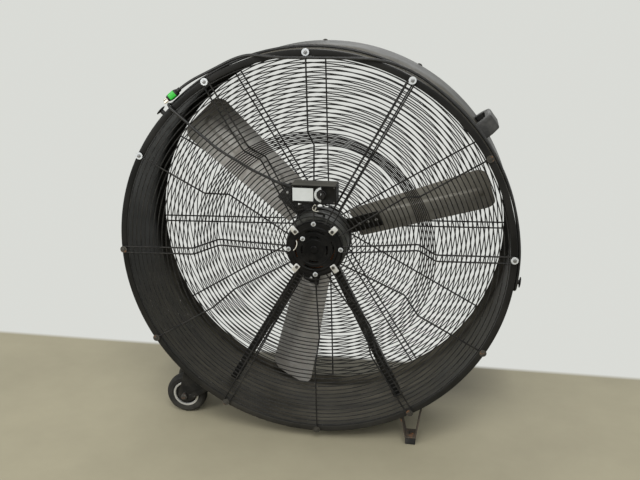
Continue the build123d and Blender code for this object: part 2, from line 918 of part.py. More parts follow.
def lie(angle, y, step=0.0):
    """Point of a cord that lies on the drum, far enough out for runs of some degrees to clear it."""
    return polar((drum_radius + 3 * touch + cord_radius) / cos(radians(step / 2)), angle, y)


def wrap_start():
    return lie(134, -137)


def cord_points():
    """From the gland, up across the guard and over the rim onto the drum."""
    x = box_x - box_width / 2 - 7
    rise = [(-86, -141, 191), (-104, -146, 202), (-137, -153, 219), (-175, -160, 239), (-203, -166, 259)]
    over = [(-236, 278), (-265, 297), (-289, 318), (-314, 337)]
    points = [Vector(x, gland_y(), gland_z()), Vector(x - 12, gland_y(), gland_z())]
    points += [Vector(px, y, axis_height + up) for px, y, up in rise]
    points += [Vector(px, -168, axis_height + up) for px, up in over]
    points += [polar(508, 133.4, -168), polar(538, 133.9, -167.5), polar(556, 134, -167),
               polar(566, 134, -158), lie(134, -147), wrap_start()]
    return points


def plug_frame():
    """Place of the plug: Z along it from the cord's end, Y outward from the drum."""
    out = radial_plane(plug_angle, drum_radius + touch + plug_lift, near_strand)
    along = Vector(-out.z_dir.Z, 0, out.z_dir.X)
    return Plane(out.origin, x_dir=Vector(0, 1, 0), z_dir=along)


def wrap_points():
    """Along the top to the right hook, round it and back, then up onto the plug."""
    turn_in = [(134, -127.5, 0), (133, -118.5, 2), (131, -114, 3), (127.8, -113, 6), (122, -114, 8)]
    ys = (-112.5, -113.5, -112, -113, -114.5, -113, -112.5, -114, -113.5, -112.5)
    outward = [(112 - 10 * i, y, 10) for i, y in enumerate(ys)]
    outward += [(13, -114, 10), (4, far_strand, 12)]
    turn = degrees((far_strand - near_strand) / 2 / drum_radius)
    end = right_hook_angle - turn
    round_hook = [(end, far_strand, 12), (end, near_strand, 12)]
    ys = (-139, -137.5, -139, -138, -140, -138)
    inward = [(3.5 + 9.5 * i, y, 10 if i else 12) for i, y in enumerate(ys)]
    slack = [(567, 59, -142), (567, 65, -149), (563, 71, -163), (551, 77, -170.5), (540, 84, -172.5),
             (537, 91.5, -172.5), (541, 98, -172), (553, 103, -169), (566, 107, -159), (569, 112, -145)]
    points = [wrap_start()] + [lie(a, y, step) for a, y, step in turn_in + outward + round_hook + inward]
    points += [polar(r, a, y) for r, a, y in slack]
    end = plug_frame()
    points += [polar(567, 118.5, -139), end.origin - end.z_dir * 30, end.origin]
    return points


def plug():
    """Moulded plug with a strain relief and three prongs."""
    frame = plug_frame()
    grip = extrude(frame.offset(plug_neck) * chamfer(Rectangle(26, 19).vertices(), 5), plug_body)
    shape = extrude(frame * RegularPolygon(6.5, 8), plug_neck) + grip
    tip = frame.offset(plug_neck + plug_body)
    for x, y, wide, thick in ((-6, 2, 1.6, 6), (6, 2, 1.6, 6), (0, -4.5, 4.5, 4.5)):
        shape += extrude(tip * Pos(x, y) * Rectangle(wide, thick), prong_length)
    return shape


def build():
    os.makedirs("parts", exist_ok=True)
    save("drum_shell", drum_shell())
    save("intake_guard_rings", *intake_rings())
    save("intake_guard_radials", *intake_radials())
    save("outlet_guard_rings", *outlet_rings())
    save("outlet_guard_radials", *outlet_radials())
    save("outlet_guard_centre", prism(24, centre_plate_radius, back + radial_wire, back + radial_wire + sheet))
    save("rim_washers", *rim_washers())
    save("rim_screws", *rim_screws())
    save("motor_front_bell", motor_front())
    save("motor_shell", motor_shell())
    save("motor_rear_bell", motor_rear())
    save("motor_bearings", *bearings())
    save("stator_core", stator_core())
    save("stator_windings", *windings())
    save("rotor_core", rotor_core())
    save("motor_shaft", motor_shaft())
    save("motor_through_bolts", *through_bolts())
    save("guard_clips", *guard_clips())
    save("guard_clip_screws", *clip_screws())
    save("motor_cradle", motor_cradle())
    save("cradle_bolts", *leg_bolts())
    for name, angle in zip("abc", blade_angles()):
        save(f"fan_blade_{name}", blade(angle))
    save("fan_hub", fan_hub())
    save("blade_rivets", *blade_rivets())
    for name, side in (("intake", -1), ("outlet", 1)):
        save(f"tyre_{name}", tyre(side))
        save(f"wheel_rim_{name}", wheel_rim(side))
        save(f"wheel_fork_{name}", wheel_fork(side))
        save(f"foot_strap_{name}", foot_strap_part(side))
    save("axle_bolts", axle_bolt(-1), axle_bolt(1))
    save("foot_pads", foot_pad(-1), foot_pad(1))
    save("foot_bolts", foot_bolt(-1), foot_bolt(1))
    save("carry_handle", handle())
    save("handle_screws", *handle_screws())
    save("control_box_base", box_base())
    save("control_box_cover", box_cover())
    save("speed_knob", knob())
    save("dial_arc", dial_arc())
    save("blank_label", blank_label())
    save("rotary_switch", rotary_switch())
    save("run_capacitor", run_capacitor())
    save("guard_clamp_plate", clamp_plate())
    save("clamp_screws", *clamp_screws())
    save("cord_gland", cord_gland())
    save("cord_hooks", cord_hook(left_hook_angle, hook_y()), cord_hook(right_hook_angle, hook_y()))
    cord, _ = tube("power cord", cord_points())
    wrap, route = tube("wound cord", wrap_points())
    print(f"  least gap to itself {least_gap(route):.2f} mm")
    save("power_cord", cord)
    save("cord_wrap", wrap)
    save("plug", plug())


build()
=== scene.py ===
import bmesh
import bpy
from math import cos, hypot, pi, radians, sin
from mathutils import Matrix, Vector


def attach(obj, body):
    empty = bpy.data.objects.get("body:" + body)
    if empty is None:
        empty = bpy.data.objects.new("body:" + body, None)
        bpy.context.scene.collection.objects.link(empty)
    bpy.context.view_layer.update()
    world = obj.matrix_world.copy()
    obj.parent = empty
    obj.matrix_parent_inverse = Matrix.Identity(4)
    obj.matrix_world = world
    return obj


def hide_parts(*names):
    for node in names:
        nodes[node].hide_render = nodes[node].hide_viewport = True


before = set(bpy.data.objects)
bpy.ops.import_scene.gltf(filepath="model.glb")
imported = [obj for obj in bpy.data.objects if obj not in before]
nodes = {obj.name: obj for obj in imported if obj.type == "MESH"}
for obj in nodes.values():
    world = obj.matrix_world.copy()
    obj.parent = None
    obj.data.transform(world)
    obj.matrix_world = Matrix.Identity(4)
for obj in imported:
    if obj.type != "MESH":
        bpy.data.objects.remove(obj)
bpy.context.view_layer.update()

# Drum fan. X runs right, Y away from the intake side and Z up, in metres, with the floor at 0.
drum = {
    "axisHeight": 0.585, "radius": 0.557, "front": -0.160, "back": 0.160, "sheet": 0.0015,
    "intakeLip": 0.5395, "outletLip": 0.536, "hem": 0.0045, "edgeBend": 0.0028, "steps": 192,
}
screwAngles = [1.5 + 30 * i for i in range(12)]  # degrees round the drum, from the right and up
samePoint = 1e-6
sameSeam = 1e-5
flatWithin = 0.5  # degrees between faces of the source that are one flat face


# tools of the bench
def shift(x=0.0, y=0.0, z=0.0):
    return Matrix.Translation((x, y, z))


def turn(degrees, axis):
    return Matrix.Rotation(radians(degrees), 4, axis)


def pick(*objects):
    bpy.ops.object.select_all(action="DESELECT")
    for obj in objects:
        obj.select_set(True)
    bpy.context.view_layer.objects.active = objects[-1]


def startEdit(obj, mode="VERT", everything=False):
    pick(obj)
    bpy.ops.object.mode_set(mode="EDIT")
    bpy.ops.mesh.select_mode(type=mode)
    bpy.ops.mesh.select_all(action="SELECT" if everything else "DESELECT")


def endEdit():
    bpy.ops.object.mode_set(mode="OBJECT")


def choose(obj, test, kind="verts"):
    # selects the parts of the mesh in edit mode that pass a test on their place
    mesh = bmesh.from_edit_mesh(obj.data)
    for part in getattr(mesh, kind):
        part.select_set(bool(test(part)))
    mesh.select_flush_mode()
    bmesh.update_edit_mesh(obj.data)


def primitive(add, name, turned=(0, 0, 0), **values):
    # a new mesh, selected alone, with its place and turn put into the mesh
    bpy.ops.object.select_all(action="DESELECT")
    add(rotation=[radians(a) for a in turned], **values)
    piece = bpy.context.active_object
    piece.name = piece.data.name = name
    bpy.ops.object.transform_apply(location=True, rotation=True, scale=True)
    return piece


def drawLine(name, points, bend=0.0, corners=(), segments=4):
    # one vertex, extruded from point to point, with the named corners rounded
    line = primitive(bpy.ops.mesh.primitive_plane_add, name, size=0.001)
    startEdit(line, everything=True)
    bpy.ops.mesh.merge(type="CENTER")
    bpy.ops.transform.translate(value=Vector(points[0]))
    for a, b in zip(points, points[1:]):
        bpy.ops.mesh.extrude_region_move(TRANSFORM_OT_translate={"value": Vector(b) - Vector(a)})
    if bend:
        places = [Vector(points[i]) for i in corners]
        choose(line, lambda v: any((v.co - p).length < samePoint for p in places))
        bpy.ops.mesh.bevel(offset=bend, segments=segments, affect="VERTICES")
    endEdit()
    return line


def cleaned(obj, outward=True, near=sameSeam):
    startEdit(obj, everything=True)
    bpy.ops.mesh.remove_doubles(threshold=near)
    if outward:
        bpy.ops.mesh.normals_make_consistent(inside=False)
    endEdit()
    return obj


def smoothed(obj, angle=32):
    pick(obj)
    bpy.ops.object.shade_smooth_by_angle(angle=radians(angle))
    return obj


def spun(obj, steps, angle=360):
    # the whole mesh, spun round the Y axis
    startEdit(obj, everything=True)
    bpy.ops.mesh.spin(steps=steps, angle=radians(angle), center=(0, 0, 0), axis=(0, 1, 0))
    endEdit()
    return obj


def turnedPiece(name, outline, steps=64, bend=0.0, corners=(), segments=3):
    # an outline of (radius, y) points, closed at the axis or on itself, and spun
    points = [(0, y, r) for r, y in outline]
    if outline[0][0] > samePoint or outline[-1][0] > samePoint:
        points.append(points[0])
    piece = drawLine(name, points, bend, corners, segments)
    cleaned(piece, outward=False, near=samePoint)
    return smoothed(cleaned(spun(piece, steps)))


def applied(obj, modifier):
    pick(obj)
    bpy.ops.object.modifier_apply(modifier=modifier.name)
    return obj


def soften(obj, width, segments=2, angle=30):
    bevel = obj.modifiers.new("edges", "BEVEL")
    bevel.width = width
    bevel.segments = segments
    bevel.limit_method = "ANGLE"
    bevel.angle_limit = radians(angle)
    bevel.use_clamp_overlap = True
    return smoothed(applied(obj, bevel))


def carve(obj, *cutters):
    for cutter in cutters:
        cut = obj.modifiers.new("cut", "BOOLEAN")
        cut.operation = "DIFFERENCE"
        cut.object = cutter
        cut.solver = "EXACT"
        applied(obj, cut)
        bpy.data.objects.remove(cutter)
    return smoothed(obj)


def moved(obj, matrix):
    obj.data.transform(matrix)
    return obj


def block(name, size, place=(0, 0, 0), edge=0.0, segments=2):
    piece = primitive(bpy.ops.mesh.primitive_cube_add, name, size=1)
    moved(piece, shift(*place) @ Matrix.Diagonal((*size, 1)))
    return soften(piece, edge, segments) if edge else piece


def pipe(name, points, thickness, bend=0.0, closed=False, sides=8, segments=4):
    # a wire of round section that follows a line with rounded corners
    inner = range(len(points)) if closed else range(1, len(points) - 1)
    line = drawLine(name, points + points[:1] if closed else points, bend, inner, segments)
    if closed:
        cleaned(line, outward=False)
    pick(line)
    bpy.ops.object.convert(target="CURVE")
    wire = bpy.context.active_object
    wire.data.bevel_depth = thickness / 2
    wire.data.bevel_resolution = max((sides - 4) // 2, 0)
    wire.data.use_fill_caps = True
    bpy.ops.object.convert(target="MESH")
    wire = bpy.context.active_object
    wire.name = wire.data.name = name
    return smoothed(cleaned(wire), angle=50)


def softLine(name, route, diameter, roundness, smoothness=12):
    # a round NURBS line with the route's points as its control points
    line = bpy.data.curves.new(name, "CURVE")
    line.dimensions = "3D"
    spline = line.splines.new("NURBS")
    spline.points.add(len(route) - 1)
    for point, place in zip(spline.points, route):
        point.co = (*place, 1)
    spline.order_u = 3
    spline.use_endpoint_u = True
    line.resolution_u = smoothness
    line.bevel_depth = diameter / 2
    line.bevel_resolution = roundness
    line.use_fill_caps = True
    piece = bpy.data.objects.new(name, line)
    bpy.context.scene.collection.objects.link(piece)
    return piece


def copyOf(obj, matrix=None, name=None):
    twin = obj.copy()
    twin.data = obj.data.copy()
    bpy.context.scene.collection.objects.link(twin)
    if matrix is not None:
        moved(twin, matrix)
    if name:
        twin.name = twin.data.name = name
    return twin


def joined(name, parts):
    pick(*parts)
    if len(parts) > 1:
        bpy.ops.object.join()
    whole = bpy.context.active_object
    whole.name = whole.data.name = name
    return whole


def repeated(name, part, places):
    # one modelled piece, copied to each place with its own mesh, as one object
    twins = [copyOf(part, place) for place in places]
    bpy.data.objects.remove(part)
    return joined(name, twins)


def roundAxis(angle):
    # from a piece drawn along +X to its angle round the drum's axis
    return shift(z=drum["axisHeight"]) @ turn(-angle, "Y")


def onRim(radius, angle, y, roll=0.0):
    # to a circle round the drum's axis, turned on the spot by its roll
    a = radians(angle)
    return shift(radius * cos(a), y, drum["axisHeight"] + radius * sin(a)) @ turn(roll, "Y")


def outwardAt(angle, radius, y):
    # Z of the piece points out of the drum, its Y runs along the drum
    return onRim(radius, angle, y, 90 - angle)


def settled(piece, finish, *replaced, body="frame"):
    # gives a piece its finish, its body and the CAD nodes that it stands for
    piece.data.materials.clear()
    piece.data.materials.append(finishes[finish])
    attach(piece, body)
    if replaced:
        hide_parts(*replaced)
    return piece


def camel(node):
    first, *rest = node.split("_")
    return first + "".join(w.capitalize() for w in rest)


def dressed(node, finish, edge, segments=2, body="frame"):
    # a merged copy of a CAD node, with its flat faces joined and its edges eased
    piece = copyOf(nodes[node], name=camel(node))
    for key in [k for k in piece.keys() if k.startswith("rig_")]:
        del piece[key]
    piece.parent = None
    cleaned(piece, outward=False)
    startEdit(piece, everything=True)
    bpy.ops.mesh.dissolve_limited(angle_limit=radians(flatWithin))
    endEdit()
    return settled(soften(piece, edge, segments), finish, node, body=body)


def makeCamera():
    view = {
        "place": (0.3707, -2.2566, 1.322), "down": 18.08, "left": 9.41,
        "lens": 45.6, "sensor": 36, "nearest": 0.01,
    }
    aim = (radians(90 - view["down"]), 0, radians(view["left"]))
    bpy.ops.object.camera_add(location=view["place"], rotation=aim)
    camera = bpy.context.active_object
    camera.data.lens = view["lens"]
    camera.data.sensor_width = view["sensor"]
    camera.data.clip_start = view["nearest"]
    bpy.context.scene.camera = camera


makeCamera()
print("camera in place")


# helpers for the finishes' node trees
def newFinish(name):
    finish = bpy.data.materials.new(name)
    finish.use_nodes = True
    tree = finish.node_tree
    shader = next(n for n in tree.nodes if n.type == "BSDF_PRINCIPLED")
    return finish, tree, shader


def node(tree, kind, **values):
    made = tree.nodes.new(kind)
    for key, value in values.items():
        if key in made.inputs:
            made.inputs[key].default_value = value
        else:
            setattr(made, key, value)
    return made


def wireUp(tree, value, socket):
    # joins an output to a socket, or sets the socket to a number or a colour
    if hasattr(value, "links"):
        tree.links.new(value, socket)
    else:
        socket.default_value = (*value, 1) if hasattr(value, "__len__") else value


def noiseOf(tree, place, scale, detail=3.0, roughness=0.55, distortion=0.0):
    made = node(tree, "ShaderNodeTexNoise", Scale=scale, Detail=detail, Roughness=roughness,
                Distortion=distortion)
    wireUp(tree, place, made.inputs["Vector"])
    return made.outputs["Fac"]


def spread(tree, value, low, high, to=(0.0, 1.0)):
    made = node(tree, "ShaderNodeMapRange")
    for name, number in zip(("From Min", "From Max", "To Min", "To Max"), (low, high, *to)):
        made.inputs[name].default_value = number
    wireUp(tree, value, made.inputs["Value"])
    return made.outputs["Result"]


def mixed(tree, amount, first, second):
    # a Mix node's sockets 6 and 7 and its output 2 are the ones for colours
    made = node(tree, "ShaderNodeMix", data_type="RGBA")
    wireUp(tree, amount, made.inputs["Factor"])
    wireUp(tree, first, made.inputs[6])
    wireUp(tree, second, made.inputs[7])
    return made.outputs[2]


def maths(tree, a, b, kind="MULTIPLY"):
    made = node(tree, "ShaderNodeMath", operation=kind)
    for socket, value in zip(made.inputs, (a, b)):
        wireUp(tree, value, socket)
    return made.outputs[0]


def rawPlace(tree):
    return node(tree, "ShaderNodeTexCoord").outputs["Object"]


def objectPlace(tree, stretch=(1, 1, 1)):
    mapping = node(tree, "ShaderNodeMapping", Scale=stretch)
    wireUp(tree, rawPlace(tree), mapping.inputs["Vector"])
    return mapping.outputs["Vector"]


def partsOf(tree, vector):
    made = node(tree, "ShaderNodeSeparateXYZ")
    wireUp(tree, vector, made.inputs[0])
    return made.outputs


def vectorOf(tree, *parts):
    made = node(tree, "ShaderNodeCombineXYZ")
    for socket, value in zip(made.inputs, parts):
        wireUp(tree, value, socket)
    return made.outputs[0]


def lengthOf(tree, vector):
    made = node(tree, "ShaderNodeVectorMath", operation="LENGTH")
    wireUp(tree, vector, made.inputs[0])
    return made.outputs["Value"]


def roundPlace(tree):
    # angle round the drum's axis, place along it, distance from it and height above it
    x, y, z = partsOf(tree, rawPlace(tree))
    up = maths(tree, z, drum["axisHeight"], "SUBTRACT")
    angle = maths(tree, up, x, "ARCTAN2")
    return angle, y, lengthOf(tree, vectorOf(tree, x, 0.0, up)), up


def bumped(tree, shader, height, strength, distance):
    made = node(tree, "ShaderNodeBump", Strength=strength, Distance=distance)
    wireUp(tree, height, made.inputs["Height"])
    wireUp(tree, made.outputs["Normal"], shader.inputs["Normal"])


def workFinish(name, colour, second=None, rough=(0.35, 0.55), metal=0.0, shine=0.5,
               dust=(0.30, 0.28, 0.24), dusty=0.25, dustScale=22, topDust=None,
               grain=900, bump=0.12, wear=0.0, rust=0.0, stretch=(1, 1, 1)):
    # paint, plating or plastic with patches, settled dust, worn spots and rust, and dust above a height
    look = {
        # a noise has its scale, detail, roughness and distortion, and an edge is where two colours meet
        "patches": (9, 4), "patchEdge": (0.38, 0.66), "glossEdge": (0.3, 0.7), "lighter": 1.35, "lift": 0.004,
        "dust": (6, 0.68), "dustEdge": (0.42, 0.72), "dustRough": 0.5, "dustHeight": 1.5,
        "laid": (0.25, 0.7, (0.5, 0.95)), "grainDetail": 2, "bumpDepth": 0.0006,
        "wear": (170, 5, 0.7), "wearEdge": (0.69, 0.73), "wearReach": 0.1, "bare": (0.42, 0.41, 0.39),
        "rust": (60, 5, 0.65, 0.6), "rustEdge": (0.62, 0.74), "rustReach": 0.3, "rustRough": 0.35,
        "tone": (400, 3), "toneEdge": (0.35, 0.65),
        "darkRust": (0.14, 0.055, 0.022), "paleRust": (0.32, 0.15, 0.06),
    }
    finish, tree, shader = newFinish(name)
    place = objectPlace(tree, stretch)
    patches = noiseOf(tree, place, *look["patches"])
    second = second or tuple(c * look["lighter"] + look["lift"] for c in colour)
    top = mixed(tree, spread(tree, patches, *look["patchEdge"]), colour, second)
    settledDust = spread(tree, noiseOf(tree, place, dustScale, *look["dust"]), *look["dustEdge"])
    settledDust = maths(tree, settledDust, dusty)
    if topDust:
        above = spread(tree, partsOf(tree, place)["Z"], *topDust)
        laid = maths(tree, above, spread(tree, patches, *look["laid"]))
        settledDust = maths(tree, settledDust, laid, "MAXIMUM")
    top = mixed(tree, settledDust, top, dust)
    if wear:
        low, high = (edge - look["wearReach"] * wear for edge in look["wearEdge"])
        top = mixed(tree, spread(tree, noiseOf(tree, place, *look["wear"]), low, high), top, look["bare"])
    roughness = spread(tree, patches, *look["glossEdge"], rough)
    roughness = maths(tree, roughness, maths(tree, settledDust, look["dustRough"]), "ADD")
    if rust:
        low, high = (edge - look["rustReach"] * rust for edge in look["rustEdge"])
        blots = spread(tree, noiseOf(tree, place, *look["rust"]), low, high)
        tone = spread(tree, noiseOf(tree, place, *look["tone"]), *look["toneEdge"])
        top = mixed(tree, blots, top, mixed(tree, tone, look["darkRust"], look["paleRust"]))
        roughness = maths(tree, roughness, maths(tree, blots, look["rustRough"]), "ADD")
        if metal:
            metal = maths(tree, maths(tree, 1.0, blots, "SUBTRACT"), metal)
    wireUp(tree, top, shader.inputs["Base Color"])
    wireUp(tree, metal, shader.inputs["Metallic"])
    wireUp(tree, roughness, shader.inputs["Roughness"])
    shader.inputs["Specular IOR Level"].default_value = shine
    grainHeight = noiseOf(tree, place, grain, look["grainDetail"])
    height = maths(tree, grainHeight, maths(tree, settledDust, look["dustHeight"]), "ADD")
    bumped(tree, shader, height, bump, look["bumpDepth"])
    return finish


def drumFinish():
    # black paint: dust in rings round the inner wall, which is paler low down, painted light on the far lip
    # that lightens it where it lies in shade, and a paler grey band on the outside's upper front half
    look = {
        "paint": (0.0075, 0.0075, 0.0070), "worn": (0.018, 0.0175, 0.016), "wornEdge": (0.35, 0.7),
        "dust": (0.150, 0.137, 0.105), "dustRough": 0.5, "rough": (0.3, 0.7, (0.30, 0.46)),
        "shine": 0.32, "ior": 1.25,
        "ringStretch": (1.6, 60, 8), "rings": (1.0, 4, 0.6), "ringEdge": (0.30, 0.74, (0.15, 1.0)),
        "clouds": (7, 5, 0.62), "cloudEdge": (0.30, 0.66, (0.45, 1.0)), "paleBandEdge": (0.25, 0.6, (0.35, 0.8)),
        "chips": (120, 4, 0.62), "chipEdge": (0.745, 0.76), "chipColour": (0.16, 0.15, 0.13),
        "inside": (0.5562, 0.5566, (1.0, 0.0)), "behindFlange": (-0.1575, -0.152, (0.16, 1.0)),
        "lowDown": (-0.05, -0.5, (0.05, 1.0)), "farLipPaintedLight": (0.152, 0.157, (1.0, 1.5)),
        "outside": (0.5566, 0.5569), "highUp": (-0.1, 0.3), "outerShare": 0.8,
        "stripStart": (-0.150, -0.142), "stripEnd": (0.045, -0.020), "strip": (0, 1, (0.03, 1.0)),
        "grain": (520, 2), "ringHeight": 0.4, "bump": (0.10, 0.0005),
    }
    finish, tree, shader = newFinish("drumPaint")
    angle, y, distance, up = roundPlace(tree)
    stretched = [maths(tree, value, by) for value, by in zip((angle, y, distance), look["ringStretch"])]
    rings = noiseOf(tree, vectorOf(tree, *stretched), *look["rings"])
    place = objectPlace(tree)
    clouds = noiseOf(tree, place, *look["clouds"])
    wall = maths(tree, spread(tree, distance, *look["inside"]), spread(tree, y, *look["behindFlange"]))
    # the far lip gets up to half as much dust again: painted light that lightens the lip where it lies in
    # shade
    wall = maths(tree, wall, spread(tree, y, *look["farLipPaintedLight"]))
    laid = maths(tree, spread(tree, rings, *look["ringEdge"]), spread(tree, clouds, *look["cloudEdge"]))
    # lowDown makes the inner wall paler towards the bottom: hardly any of the pale mix above the axis, all of
    # it at the bottom
    inner = maths(tree, laid, maths(tree, spread(tree, up, *look["lowDown"]), wall))
    # the top of the outside's front half is mixed toward the dust's colour, a paler grey band
    outside = maths(tree, spread(tree, distance, *look["outside"]), spread(tree, up, *look["highUp"]))
    strip = maths(tree, spread(tree, y, *look["stripStart"]), spread(tree, y, *look["stripEnd"]))
    paleBand = maths(tree, spread(tree, clouds, *look["paleBandEdge"]), spread(tree, strip, *look["strip"]))
    outer = maths(tree, outside, paleBand)
    # this mix carries the dust, the pale outer band and the painted light on the far lip
    dust = maths(tree, inner, maths(tree, outer, look["outerShare"]), "ADD")
    top = mixed(tree, spread(tree, clouds, *look["wornEdge"]), look["paint"], look["worn"])
    top = mixed(tree, dust, top, look["dust"])
    chips = spread(tree, noiseOf(tree, place, *look["chips"]), *look["chipEdge"])
    wireUp(tree, mixed(tree, chips, top, look["chipColour"]), shader.inputs["Base Color"])
    roughness = maths(tree, spread(tree, clouds, *look["rough"]), maths(tree, dust, look["dustRough"]), "ADD")
    wireUp(tree, roughness, shader.inputs["Roughness"])
    shader.inputs["Specular IOR Level"].default_value = look["shine"]
    shader.inputs["IOR"].default_value = look["ior"]
    height = maths(tree, noiseOf(tree, place, *look["grain"]), maths(tree, rings, look["ringHeight"]), "ADD")
    bumped(tree, shader, height, *look["bump"])
    return finish


def bladeFinish():
    # dull rolled sheet: streaked along the blade's path, with brown dust thickest near the tips and the hub
    look = {
        "sheet": (0.46, 0.455, 0.43), "dullSheet": (0.37, 0.36, 0.335), "sheetEdge": (0.3, 0.7),
        "dirt": (0.17, 0.150, 0.120), "dirtShare": 0.8,
        "streakStretch": (5, 90, 20), "streaks": (1.0, 4, 0.6), "streakEdge": (0.25, 0.75, (0.3, 0.95)),
        "clouds": (11, 5, 0.6), "cloudEdge": (0.32, 0.68, (0.15, 0.9)),
        "tip": (0.40, 0.512, (0.0, 0.35)), "hub": (0.26, 0.10, (0.0, 0.3)),
        "metal": (0, 1, (0.55, 0.15)), "rough": (0, 1, (0.34, 0.62)), "bump": (0.12, 0.0006),
    }
    finish, tree, shader = newFinish("bladeSheet")
    angle, y, distance = roundPlace(tree)[:3]
    stretched = [maths(tree, value, by) for value, by in zip((angle, distance, y), look["streakStretch"])]
    streaks = noiseOf(tree, vectorOf(tree, *stretched), *look["streaks"])
    clouds = noiseOf(tree, objectPlace(tree), *look["clouds"])
    dirt = maths(tree, spread(tree, clouds, *look["cloudEdge"]), spread(tree, streaks, *look["streakEdge"]))
    ends = maths(tree, spread(tree, distance, *look["tip"]), spread(tree, distance, *look["hub"]), "ADD")
    dirt = maths(tree, dirt, ends, "ADD")
    top = mixed(tree, spread(tree, streaks, *look["sheetEdge"]), look["sheet"], look["dullSheet"])
    top = mixed(tree, maths(tree, dirt, look["dirtShare"]), top, look["dirt"])
    wireUp(tree, top, shader.inputs["Base Color"])
    wireUp(tree, spread(tree, dirt, *look["metal"]), shader.inputs["Metallic"])
    wireUp(tree, spread(tree, dirt, *look["rough"]), shader.inputs["Roughness"])
    bumped(tree, shader, maths(tree, streaks, clouds, "ADD"), *look["bump"])
    return finish


def cordFinish():
    # matt rubber with a little dust
    look = {
        "sheath": (0.010, 0.010, 0.010), "worn": (0.022, 0.022, 0.021), "patches": 25,
        "dust": (0.12, 0.115, 0.10), "dustNoise": (60, 5, 0.65), "dustEdge": (0.45, 0.72, (0.0, 0.16)),
        "rough": (0, 0.16, (0.36, 0.6)), "shine": 0.3, "grain": (1400, 2), "bump": (0.10, 0.0004),
    }
    finish, tree, shader = newFinish("cordSheath")
    place = objectPlace(tree)
    dust = spread(tree, noiseOf(tree, place, *look["dustNoise"]), *look["dustEdge"])
    top = mixed(tree, noiseOf(tree, place, look["patches"]), look["sheath"], look["worn"])
    wireUp(tree, mixed(tree, dust, top, look["dust"]), shader.inputs["Base Color"])
    wireUp(tree, spread(tree, dust, *look["rough"]), shader.inputs["Roughness"])
    shader.inputs["Specular IOR Level"].default_value = look["shine"]
    bumped(tree, shader, noiseOf(tree, place, *look["grain"]), *look["bump"])
    return finish


